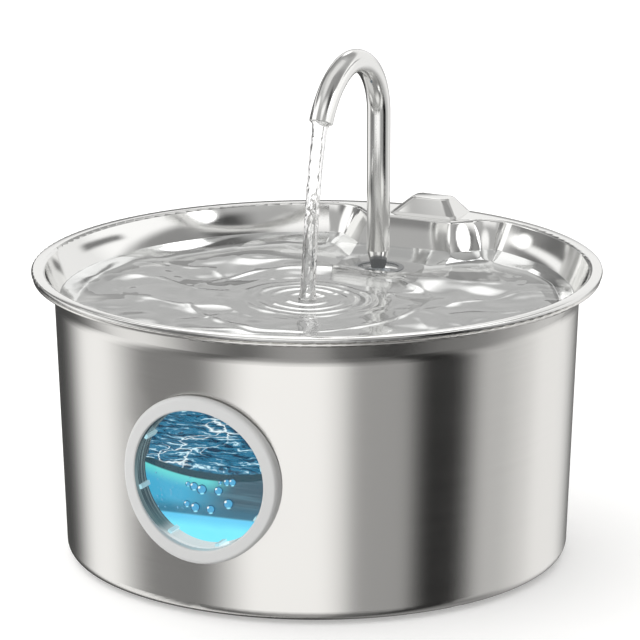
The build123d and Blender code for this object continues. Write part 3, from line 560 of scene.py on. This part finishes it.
def lens_retainer_plastic():
    """Smoke-grey sleeve whose colour is all painted glow: turned rings drawn as painted light
    streaks, and a painted teal and then bright glow towards its lower side, standing in for the
    light of the water.
    """
    material = finish("retainer_smoke_painted_glow", (0.05, 0.07, 0.08), 0.2)
    tree = material.node_tree
    z = object_axes(tree)[2]
    rings = noise_on(material, (20.0, 900.0, 20.0), 2.0, 0.6)
    painted_streak = smooth_step(tree, rings, 0.5, 0.72)
    dark = mix_colour(tree, painted_streak, (0.035, 0.055, 0.065), (0.30, 0.40, 0.42))
    painted_teal_glow = product(tree, smooth_step(tree, z, *sleeve_painted_teal_glow), 0.5)
    tone = mix_colour(tree, painted_teal_glow, dark, (0.17, 0.30, 0.32))
    tone = mix_colour(tree, smooth_step(tree, z, *sleeve_painted_bright_glow), tone, (0.95, 1.0, 1.0))
    # the sleeve's whole tone is given out as painted glow
    shader = shader_of(material)
    shader.inputs["Emission Strength"].default_value = 0.7
    tree.links.new(tone, shader.inputs["Emission Color"])
    return material


def bezel_plastic():
    """Pale grey plastic with a painted shade on its side turned away to the lower right."""
    material = moulded("bezel_grey", (0.67, 0.675, 0.675), 0.36, 1200.0, 0.03)
    tree = material.node_tree
    colour = shader_of(material).inputs["Base Color"].links[0].from_socket
    # painted shade: the base colour darkens where the surface faces the lower right
    normal = tree.nodes.new("ShaderNodeNewGeometry").outputs["Normal"]
    painted_shade_share = smooth_step(tree, aligned(tree, normal, bezel_painted_shade_way), 0.25, 0.75)
    painted_shade = mix_colour(tree, painted_shade_share, (1.0, 1.0, 1.0), (0.70, 0.70, 0.70))
    painted_shade_colour = mix_colour(tree, 1.0, colour, painted_shade, "MULTIPLY")
    tree.links.new(painted_shade_colour, shader_of(material).inputs["Base Color"])
    return material


def drain_plastic():
    """Smoke-grey plastic of the drain, with a faint painted glow that stands in for light from the
    steel round it.
    """
    material = moulded("collar_grey_painted_glow", (0.05, 0.052, 0.055), 0.3)
    shader = shader_of(material)
    # faint painted glow
    shader.inputs["Emission Color"].default_value = (0.95, 0.98, 1.0, 1.0)
    shader.inputs["Emission Strength"].default_value = 0.10
    return material


def dress_frame():
    """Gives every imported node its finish."""
    silicone = moulded("silicone_grey", (0.34, 0.35, 0.36), 0.55, 500.0, 0.05)
    # milky silicone with a faint painted glow
    silicone_clear_painted_glow = finish(
        "silicone_milky_painted_glow", (0.72, 0.74, 0.75), 0.4, 0.0, Transmission_Weight=0.45, IOR=1.41,
        Emission_Color=(0.9, 0.95, 1.0, 1.0), Emission_Strength=0.10,
    )
    housing = moulded("pump_housing", (0.72, 0.74, 0.76), 0.42)
    white_inner = moulded("moulding_white", (0.80, 0.80, 0.78), 0.48)
    ceramic = moulded("ceramic_shaft", (0.86, 0.84, 0.79), 0.12, 300.0, 0.02)
    finishes = {
        "tank_shell": brushed_steel(),
        "tray_pan": pressed_tray_steel(),
        "spout_tube": polished_steel("steel_spout", 0.13, 0.03),
        "pump_screws": polished_steel("steel_screws", 0.3, 0.1),
        "window_bezel": bezel_plastic(),
        "window_lens": clear("lens_clear", (0.93, 0.99, 1.0), 0.0, 1.25),
        "lens_retainer": lens_retainer_plastic(),
        # clear clips with a painted glow
        "lens_clips": finish(
            "clip_clear", (0.80, 0.90, 0.92), 0.08, 0.0, Transmission_Weight=0.35, IOR=1.49,
            Emission_Color=(0.55, 0.75, 0.80, 1.0), Emission_Strength=0.3,
        ),
        "led_lens": clear("led_dome", (0.70, 0.90, 1.0), 0.12, 1.45, 0.85),
        "drain_collar": drain_plastic(),
        "flow_dial": moulded("dial_blue_grey", (0.26, 0.34, 0.42), 0.4),
        "filter_cage": moulded("cage_pale", (0.76, 0.79, 0.80), 0.38),
        "impeller": moulded("impeller_white", (0.84, 0.84, 0.81), 0.35),
        "rotor_magnet": moulded("ferrite_black", (0.03, 0.03, 0.033), 0.55, 1500.0, 0.15),
        "motor_resin": moulded("resin_black", (0.018, 0.018, 0.02), 0.18, 120.0, 0.1),
        "led_board": moulded("board_green", (0.015, 0.12, 0.05), 0.3),
        "stator_core": banded(
            "core_laminated", (0.10, 0.10, 0.105), (0.30, 0.30, 0.31), 0.4, 0.9, "Y", 0.0005, 0.4
        ),
        "stator_coil": banded(
            "coil_windings", (0.30, 0.10, 0.03), (0.80, 0.36, 0.14), 0.28, 0.8, "X", 0.0004, 0.8
        ),
        "foam_block": granular(
            "foam_open", (0.02, 0.02, 0.022), (0.12, 0.125, 0.13), 0.0012, 0.9
        ),
        "carbon_media": granular(
            "carbon_grains", (0.006, 0.006, 0.006), (0.05, 0.05, 0.05), 0.0009, 1.0
        ),
    }
    for name in (
        "tank_feet", "window_gasket", "pump_seal", "shaft_bushes", "cable_gland", "cable_clip"
    ):
        finishes[name] = silicone
    for name in ("spout_bush", "suction_cups", "outlet_sleeve"):
        finishes[name] = silicone_clear_painted_glow
    for name in ("volute_cover", "pump_body", "motor_cap", "intake_cover"):
        finishes[name] = housing
    for name in ("saddle_washer", "lock_ring", "cartridge_frame"):
        finishes[name] = white_inner
    finishes["impeller_shaft"] = ceramic
    finishes["spout_tail"] = finishes["spout_tube"]
    for name, piece in nodes.items():
        piece.data.materials.clear()
        piece.data.materials.append(finishes[name])


# ---- water in the basin -------------------------------------------------------------------------

# rings round the splash, in millimetres: radius, height, width
ring_waves = (
    (7.4, 0.30, 1.1), (13.4, 0.32, 1.2), (18.6, 0.30, 1.3), (23.2, 0.24, 1.4), (31.0, 0.10, 1.8),
    (43.6, 0.30, 1.3),
)
ring_bend = 0.08                 # how far the rings stray from round
splash_dip, splash_dip_radius = 0.35, 4.2
# swell, chop and fine ripples: height in mm, ripples per mm across and along, seed
basin_layers = (
    (1.6, 0.026, 0.030, 1.0),
    (1.05, 0.060, 0.060, 7.0),
    (0.16, 0.14, 0.14, 9.0),
)
crease_height, crease_sharpness = 0.22, 8.0
# share of the ripples at the splash, and how far away they are whole, in mm
calm_least, calm_reach = 0.25, 48.0
# the water is drawn down to a film over the boss, in mm: how far round it, how far before the
# spout's axis that begins, and over what run it comes in
draw_reach, draw_front, draw_run = 8.0, 11.0, 7.0
boss_film = 0.15
# at the basin's wall, in mm: where the ripples die down, and the height and width of the rise
edge_calm, meniscus_height, meniscus_reach = 3.0, 0.5, 1.2


def from_boss(x, y):
    """Distance outside the drain's boss, in metres."""
    dx = abs(x) - (boss_half_x - boss_corner)
    dy = abs(y - spout_y) - (boss_half_y - boss_corner)
    return math.hypot(max(dx, 0.0), max(dy, 0.0)) - boss_corner


def ripple(px, py, across, along, seed):
    """Smooth noise at a place in millimetres."""
    return noise.noise(Vector((px * across, py * along, seed)))


def basin_height(x, y):
    """Height of the moving water above its still level, in metres, at a place in metres."""
    px, py = x / MM, (y - splash_y) / MM
    reach = math.hypot(px, py)
    ring = reach * (1.0 + ring_bend * ripple(px, py, 0.030, 0.030, 4.0))
    height = sum(a * math.exp(-(((ring - r) / w) ** 2)) for r, a, w in ring_waves)
    height -= splash_dip * math.exp(-((reach / splash_dip_radius) ** 2))
    calm = calm_least + (1.0 - calm_least) * min(1.0, reach / calm_reach)
    moving = sum(tall * ripple(px, py, *layer) for tall, *layer in basin_layers)
    crease = 1.0 - min(1.0, abs(ripple(px, py, 0.036, 0.040, 12.0)) * crease_sharpness)
    height += calm * (moving + crease_height * crease * crease)
    drawn = math.exp(-((max(0.0, from_boss(x, y)) / MM / draw_reach) ** 2))
    behind = min(1.0, max(0.0, ((y - spout_y) / MM + draw_front) / draw_run))
    drawn *= behind * behind * (3.0 - 2.0 * behind)
    height = height * (1.0 - drawn) - drawn * (basin_level - boss_top - boss_film * MM) / MM
    return height * MM


def cut_away(piece, cutter):
    """Applies piece minus cutter and removes the cutter."""
    cut = piece.modifiers.new("cut", "BOOLEAN")
    cut.operation, cut.solver, cut.object = "DIFFERENCE", "EXACT", cutter
    depsgraph = bpy.context.evaluated_depsgraph_get()
    mesh = bpy.data.meshes.new_from_object(piece.evaluated_get(depsgraph))
    piece.modifiers.clear()
    piece.data = mesh
    bpy.data.objects.remove(cutter)


def rounded_block(half_x, half_y, low, high, radius, middle_y):
    """A block with rounded upright edges."""
    bm = bmesh.new()
    bmesh.ops.create_cube(bm, size=2.0)
    bmesh.ops.scale(bm, vec=(half_x, half_y, (high - low) / 2), verts=bm.verts)
    upright = [e for e in bm.edges if abs(e.verts[0].co.z - e.verts[1].co.z) > MM]
    bmesh.ops.bevel(
        bm, geom=upright, offset=radius, segments=8, profile=0.5, affect="EDGES", material=-1
    )
    bmesh.ops.translate(bm, vec=(0.0, middle_y, (high + low) / 2), verts=bm.verts)
    return new_object("block", bm)


def spin_line(bm, line, spokes, seam):
    """Spins a line of vertices from axis to axis into a closed shell."""
    edges = [bm.edges.new(pair) for pair in zip(line, line[1:])]
    bmesh.ops.spin(
        bm, geom=line + edges, cent=(0, 0, 0), axis=(0, 0, 1), angle=2.0 * math.pi,
        steps=spokes, use_merge=True,
    )
    bmesh.ops.remove_doubles(bm, verts=bm.verts, dist=seam)


def turned_shell(rows, spokes):
    """A closed shell of rings, each at the height of its number, the first and last at the axis."""
    bm = bmesh.new()
    line = []
    for row in range(rows + 1):
        line.append(bm.verts.new((0.0 if row in (0, rows) else 1.0, 0.0, float(row))))
    spin_line(bm, line, spokes, 1e-5)
    return bm


def build_basin_water(clear_water):
    """Water that fills the tray's basin, with rings round the splash, drawn down at the drain."""
    spokes, rings = 400, 180
    sink = (0.8, 2.2, 4.0, 6.0, 8.0, 9.4, 10.4, 11.2, 11.8)
    levels = [basin_level - drop * MM for drop in sink] + [basin_under]
    outside = 0.15
    pan = BVHTree.FromObject(nodes["tray_pan"], bpy.context.evaluated_depsgraph_get())

    def reach_at(spoke, level):
        angle = 2.0 * math.pi * spoke / spokes
        out = Vector((math.cos(angle), math.sin(angle), 0.0))
        start = Vector((0.0, splash_y, level)) + out * outside
        return outside - pan.ray_cast(start, -out)[3] - sheet_middle

    reaches = [
        [reach_at(spoke, level) for spoke in range(spokes)] for level in [basin_level] + levels
    ]
    bm = turned_shell(rings + len(levels) + 1, spokes)
    for v in bm.verts:
        row = round(v.co.z)
        angle = math.atan2(v.co.y, v.co.x)
        spoke = round(angle / (2.0 * math.pi) * spokes) % spokes
        if row <= rings:
            reach = reaches[0][spoke]
            along = reach * row / rings
            v.co.x, v.co.y = along * math.cos(angle), along * math.sin(angle) + splash_y
            gap = (reach - along) / MM
            moving = 1.0 - math.exp(-((gap / edge_calm) ** 2))
            meniscus = meniscus_height * MM * math.exp(-gap / meniscus_reach)
            v.co.z = basin_level + basin_height(v.co.x, v.co.y) * moving + meniscus
        elif row <= rings + len(levels):
            below = row - rings
            along = reaches[below][spoke]
            v.co.x, v.co.y = along * math.cos(angle), along * math.sin(angle) + splash_y
            v.co.z = levels[below - 1]
        else:
            v.co = Vector((0.0, splash_y, basin_under))
    bmesh.ops.recalc_face_normals(bm, faces=bm.faces)
    water = new_object("basin_water", bm)
    block = rounded_block(
        boss_half_x - sheet_middle, boss_half_y - sheet_middle,
        basin_under - 4 * MM, boss_top - sheet_middle,
        boss_corner - sheet_middle, spout_y,
    )
    cut_away(water, block)
    water.data.polygons.foreach_set("use_smooth", [True] * len(water.data.polygons))
    water.data.materials.clear()
    water.data.materials.append(clear_water)
    water.visible_glossy = False
    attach(water, "tray")


# ---- falling stream -----------------------------------------------------------------------------

stream_fall = 26.0               # degrees from upright at the mouth
stream_inside = 0.10             # share of its run that starts inside the spout
stream_radius, stream_waist = 2.75, 0.25             # in mm
stream_mouth_gap, stream_mouth_run = 0.08, 0.03
stream_foot, stream_foot_run, stream_flare = 0.965, 0.035, 0.5
stream_dip = 0.3                 # how far its foot reaches below the still water, in mm
rope_share, bead_share, grain_share = 0.05, 0.11, 0.045


def build_stream(clear_water):
    """The stream from the spout's mouth to the splash, a clear rope of water."""
    around, along = 48, 240
    forward = mouth.y - splash_y
    straight = forward / math.tan(math.radians(stream_fall))
    pulled = mouth.z - basin_level - straight

    def turn_of(v):
        return math.atan2(v.co.y, v.co.x)

    bm = bmesh.new()
    bmesh.ops.create_circle(bm, cap_ends=False, segments=around, radius=1.0)
    ring = list(bm.edges)
    bmesh.ops.contextual_create(bm, geom=ring)
    rows = [sorted(bm.verts, key=turn_of)]
    for _ in range(along):
        made = bmesh.ops.extrude_edge_only(bm, edges=ring)["geom"]
        ring = [g for g in made if isinstance(g, bmesh.types.BMEdge)]
        verts = [g for g in made if isinstance(g, bmesh.types.BMVert)]
        rows.append(sorted(verts, key=turn_of))
    bmesh.ops.contextual_create(bm, geom=ring)
    side = Vector((1.0, 0.0, 0.0))
    for step, row in enumerate(rows):
        time = min(-stream_inside + (1.0 + stream_inside) * step / along, 1.0)
        falling = max(0.0, time)
        y = mouth.y - forward * time
        z = mouth.z - straight * time - pulled * falling ** 2 - stream_dip * MM * (time >= 1.0)
        slope = Vector((0.0, -forward, -straight - 2.0 * pulled * falling)).normalized()
        front = slope.cross(side).normalized()
        base = stream_radius - stream_waist * math.sin(math.pi * falling)
        widening = mouth_bore / MM + stream_mouth_gap - stream_radius
        base += widening * min(1.0, math.exp(-time / stream_mouth_run))
        base += stream_flare * max(0.0, (time - stream_foot) / stream_foot_run) ** 2
        rough = 0.25 + 0.75 * min(1.0, falling * 1.6)
        for place, v in enumerate(row):
            angle = 2.0 * math.pi * place / around
            c, s = math.cos(angle), math.sin(angle)
            rope = noise.noise(Vector((c * 1.1, s * 1.1, time * 5.0)))
            bead = noise.noise(Vector((c * 2.4, s * 2.4, time * 24.0)))
            grain = noise.noise(Vector((c * 3.5 + 9.0, s * 3.5, time * 55.0)))
            lumps = 1.0 + rope_share * rope + bead_share * rough * bead
            lumps += grain_share * rough * grain
            v.co = Vector((0.0, y, z)) + (side * c + front * s) * (base * lumps * MM)
    bmesh.ops.recalc_face_normals(bm, faces=bm.faces)
    stream = new_object("water_stream", bm)
    stream.data.materials.append(clear_water)
    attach(stream, "spout")


# ---- water in the tank --------------------------------------------------------------------------


def lit_water():
    """Water in the tank, all painted as glow: a painted blue-green light from below, and painted
    bright threads of light on its surface.
    """
    material = finish("water_painted_glow", (0.01, 0.03, 0.04), 0.05, 0.0, IOR=1.33)
    tree = material.node_tree
    links, new = tree.links, tree.nodes.new
    place = new("ShaderNodeTexCoord").outputs["Object"]
    x, _, z = object_axes(tree)

    # seen from above: painted dark and bright ripples with painted white threads of light
    warp = new("ShaderNodeVectorMath")
    warp.operation = "MULTIPLY_ADD"
    wobble = new("ShaderNodeTexNoise")
    wobble.inputs["Scale"].default_value = 90.0
    wobble.inputs["Detail"].default_value = 5.0
    links.new(place, wobble.inputs["Vector"])
    links.new(wobble.outputs["Color"], warp.inputs[0])
    warp.inputs[1].default_value = (0.018, 0.018, 0.0)
    links.new(place, warp.inputs[2])

    def warped(scale, kind):
        mapping = new("ShaderNodeMapping")
        mapping.inputs["Scale"].default_value = scale
        links.new(warp.outputs[0], mapping.inputs["Vector"])
        texture = new(kind)
        texture.inputs["Scale"].default_value = 1.0
        links.new(mapping.outputs[0], texture.inputs["Vector"])
        return texture

    streaks = warped((110.0, 400.0, 560.0), "ShaderNodeTexNoise")
    streaks.inputs["Detail"].default_value = 3.0
    streaks.inputs["Roughness"].default_value = 0.68
    ripple = streaks.outputs["Fac"]
    painted_surface_light = mix_colour(
        tree, smooth_step(tree, ripple, 0.36, 0.56), (0.002, 0.026, 0.065), (0.022, 0.19, 0.33)
    )
    painted_surface_light = mix_colour(tree, smooth_step(tree, ripple, 0.56, 0.66), painted_surface_light, (0.66, 0.88, 0.97))
    cells = warped((95.0, 60.0, 95.0), "ShaderNodeTexVoronoi")
    cells.feature = "DISTANCE_TO_EDGE"
    light_thread_line = smooth_step(tree, cells.outputs["Distance"], 0.04, 0.0)
    beside = math_node(tree, "ABSOLUTE", math_node(tree, "SUBTRACT", x, painted_thread_x))
    painted_light_threads = product(tree, light_thread_line, smooth_step(tree, beside, 12.0 * MM, 5.0 * MM))
    painted_surface_light = mix_colour(tree, painted_light_threads, painted_surface_light, (0.92, 0.98, 1.0))

    # seen from the front: a painted dark waterline, painted lit water and the painted bright glow
    # of the bed below it
    bow = product(tree, x, product(tree, x, waterline_bow))
    above = math_node(tree, "SUBTRACT", z, math_node(tree, "ADD", waterline_z, bow))
    bed_line = math_node(tree, "ADD", bed_z, product(tree, x, bed_slope))
    over_bed = math_node(tree, "SUBTRACT", z, bed_line)
    across = smooth_step(tree, x, -12.0 * MM, 12.0 * MM)
    # painted light: bright blue-green to the left, dark teal to the right
    painted_lit = mix_colour(tree, across, (0.055, 0.40, 0.62), (0.045, 0.09, 0.125))
    fine = noise_on(material, (30.0, 30.0, 700.0), 2.0)
    grainy = product(tree, smooth_step(tree, fine, 0.45, 0.7), across)
    painted_lit = mix_colour(tree, product(tree, grainy, 0.5), painted_lit, (0.12, 0.24, 0.30))
    left = math_node(tree, "SUBTRACT", 1.0, smooth_step(tree, x, -2.0 * MM, 10.0 * MM))
    glow = product(tree, smooth_step(tree, above, -6.5 * MM, -1.5 * MM), left)
    painted_lit = mix_colour(tree, glow, painted_lit, (0.14, 0.68, 0.66))
    # painted shade: a darker band just above the bed
    painted_shade = product(tree, smooth_step(tree, over_bed, 6.0 * MM, 1.0 * MM), 0.8)
    painted_lit = mix_colour(tree, painted_shade, painted_lit, (0.036, 0.15, 0.235))
    deeper = smooth_step(tree, over_bed, -0.5 * MM, -5.0 * MM)
    painted_bed_glow = mix_colour(tree, deeper, (0.14, 0.62, 0.92), (0.22, 0.86, 1.0))
    cloud = noise_on(material, (60.0, 60.0, 90.0), 1.0)
    cloudy = product(tree, smooth_step(tree, cloud, 0.5, 0.7), 0.4)
    painted_bed_glow = mix_colour(tree, cloudy, painted_bed_glow, (0.13, 0.66, 0.93))
    section = mix_colour(tree, smooth_step(tree, over_bed, -0.5 * MM, 0.5 * MM), painted_bed_glow, painted_lit)
    over_water = smooth_step(tree, above, 0.2 * MM, 0.8 * MM)
    section = mix_colour(tree, over_water, section, painted_surface_light)
    line = smooth_step(tree, math_node(tree, "ABSOLUTE", above), 1.6 * MM, 1.0 * MM)
    section = mix_colour(tree, line, section, (0.012, 0.045, 0.065))

    geometry = new("ShaderNodeNewGeometry")
    normal = new("ShaderNodeSeparateXYZ")
    links.new(geometry.outputs["Normal"], normal.inputs[0])
    on_top = smooth_step(tree, normal.outputs[2], 0.4, 0.7)
    colour = mix_colour(tree, on_top, section, painted_surface_light)
    # all of it is given out as painted glow
    shader = shader_of(material)
    links.new(colour, shader.inputs["Emission Color"])
    shader.inputs["Emission Strength"].default_value = 1.0
    return material


def bubble_skin():
    """Air bubble under water, all painted as glow: a painted dark ring, a blue middle, a painted
    bright glint and a painted pale lower crescent of light.
    """
    material = finish("bubble_skin", (0.01, 0.02, 0.03), 0.05, 0.0, IOR=1.33)
    tree = material.node_tree
    links, new = tree.links, tree.nodes.new
    facing = new("ShaderNodeLayerWeight")
    facing.inputs["Blend"].default_value = 0.5
    rim = facing.outputs["Facing"]
    normal = new("ShaderNodeNewGeometry").outputs["Normal"]

    def painted_light_from(way, low, high):
        return smooth_step(tree, aligned(tree, normal, Vector(way).normalized()), low, high)

    ring = smooth_step(tree, rim, 0.30, 0.52)
    tone = mix_colour(tree, ring, (0.09, 0.40, 0.66), (0.008, 0.06, 0.13))
    tone = mix_colour(tree, painted_light_from((0.35, -0.55, -0.75), 0.86, 0.95), tone, (0.35, 0.80, 0.95))
    tone = mix_colour(tree, smooth_step(tree, rim, 0.80, 0.93), tone, (0.35, 0.72, 0.86))
    tone = mix_colour(tree, painted_light_from((-0.25, -0.75, 0.62), 0.945, 0.975), tone, (0.97, 1.0, 1.0))
    # the tone is given out as painted glow
    shader = shader_of(material)
    links.new(tone, shader.inputs["Emission Color"])
    shader.inputs["Emission Strength"].default_value = 1.0
    return material


def tank_height_at(x, y):
    """Small chop on the tank's water."""
    px, py = x / MM, y / MM
    chop = noise.noise(Vector((px * 0.10, py * 0.05, 2.0)))
    fine = noise.noise(Vector((px * 0.26, py * 0.12, 5.0)))
    return (0.35 * chop + 0.14 * fine) * MM


def build_tank_water(water_finish):
    """Water in the tank, up to the middle of the sight window."""
    spokes, rings = 240, 90
    shell = BVHTree.FromObject(nodes["tank_shell"], bpy.context.evaluated_depsgraph_get())

    def wall_at(level):
        hit = shell.ray_cast(Vector((0.0, 0.0, level)), Vector((0.0, 1.0, 0.0)))
        return hit[3] + tank_reach

    bm = bmesh.new()
    line = [bm.verts.new((0.0, 0.0, tank_floor))]
    corner = tank_corner
    foot = wall_at(tank_floor + 2 * corner)
    line.append(bm.verts.new((foot - corner, 0.0, tank_floor)))
    corner_steps = 6
    for part in range(1, corner_steps + 1):
        turn = math.pi / 2 * part / corner_steps
        line.append(bm.verts.new((
            foot - corner + corner * math.sin(turn),
            0.0,
            tank_floor + corner * (1.0 - math.cos(turn)),
        )))
    head = wall_at(tank_level)
    for ring in range(rings, -1, -1):
        line.append(bm.verts.new((head * ring / rings, 0.0, tank_level)))
    spin_line(bm, line, spokes, 1e-6)
    bmesh.ops.recalc_face_normals(bm, faces=bm.faces)
    for v in bm.verts:
        if v.co.z > tank_level - 1e-6:
            v.co.z += tank_height_at(v.co.x, v.co.y) * min(1.0, (head - v.co.xy.length) / (4 * MM))
    water = new_object("tank_water", bm)
    bm = bmesh.new()
    bmesh.ops.create_cone(
        bm, cap_ends=True, segments=96, radius1=window_well_radius, radius2=window_well_radius,
        depth=window_well_depth,
    )
    bmesh.ops.rotate(bm, matrix=Matrix.Rotation(math.pi / 2, 3, "X"), verts=bm.verts)
    well_y = window_water_y - window_well_depth / 2
    bmesh.ops.translate(bm, vec=(0.0, well_y, window_z), verts=bm.verts)
    cut_away(water, new_object("well", bm))
    for polygon in water.data.polygons:
        polygon.use_smooth = abs(polygon.normal.y) < 0.9
    water.data.materials.clear()
    water.data.materials.append(water_finish)
    water.visible_glossy = False
    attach(water, "tank")


# bubbles behind the lens: across, up from the stand, radius, in millimetres
window_bubbles = (
    (-5.5, 45.9, 1.5), (-2.4, 45.2, 1.75), (4.0, 45.5, 1.55), (7.2, 48.9, 1.2),
    (9.4, 49.2, 1.35), (7.8, 41.3, 1.8), (0.9, 38.4, 1.6), (-5.0, 38.4, 1.7),
    (-8.3, 39.2, 1.2), (-7.9, 46.4, 0.9), (4.6, 48.4, 0.7),
)
# the spray of tiny ones: how many, and their spans across, up and in radius
spray_count = 34
spray_spans = ((-21.0, -7.0), (36.0, 49.0), (0.12, 0.34))
bubble_lead = 0.25               # how far a bubble's middle is before the water's face, in radii


def build_bubbles(clear_air):
    """Air bubbles on the water's face behind the lens, and a spray of tiny ones."""
    dice = random.Random(11)
    spots = list(window_bubbles)
    for _ in range(spray_count):
        spots.append(tuple(dice.uniform(*span) for span in spray_spans))
    bm = bmesh.new()
    for across, up, radius in spots:
        y = window_water_y - bubble_lead * radius * MM
        place = Matrix.Translation(Vector((across * MM, y, up * MM)))
        bmesh.ops.create_icosphere(bm, subdivisions=3, radius=radius * MM, matrix=place)
    bubbles = new_object("bubbles", bm)
    bubbles.data.materials.append(clear_air)
    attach(bubbles, "tank")


# ---- scene --------------------------------------------------------------------------------------

bpy.context.scene.view_settings.view_transform = "Standard"
build_studio_light()
build_near_lamp()
build_camera()
build_floor()
dress_frame()
basin_finish = clear("water_clear", (0.97, 0.99, 1.0), 0.0, 1.33)
build_basin_water(basin_finish)
build_stream(clear("water_stream", (1.0, 1.0, 1.0), 0.0, 1.33))
build_tank_water(lit_water())
build_bubbles(bubble_skin())
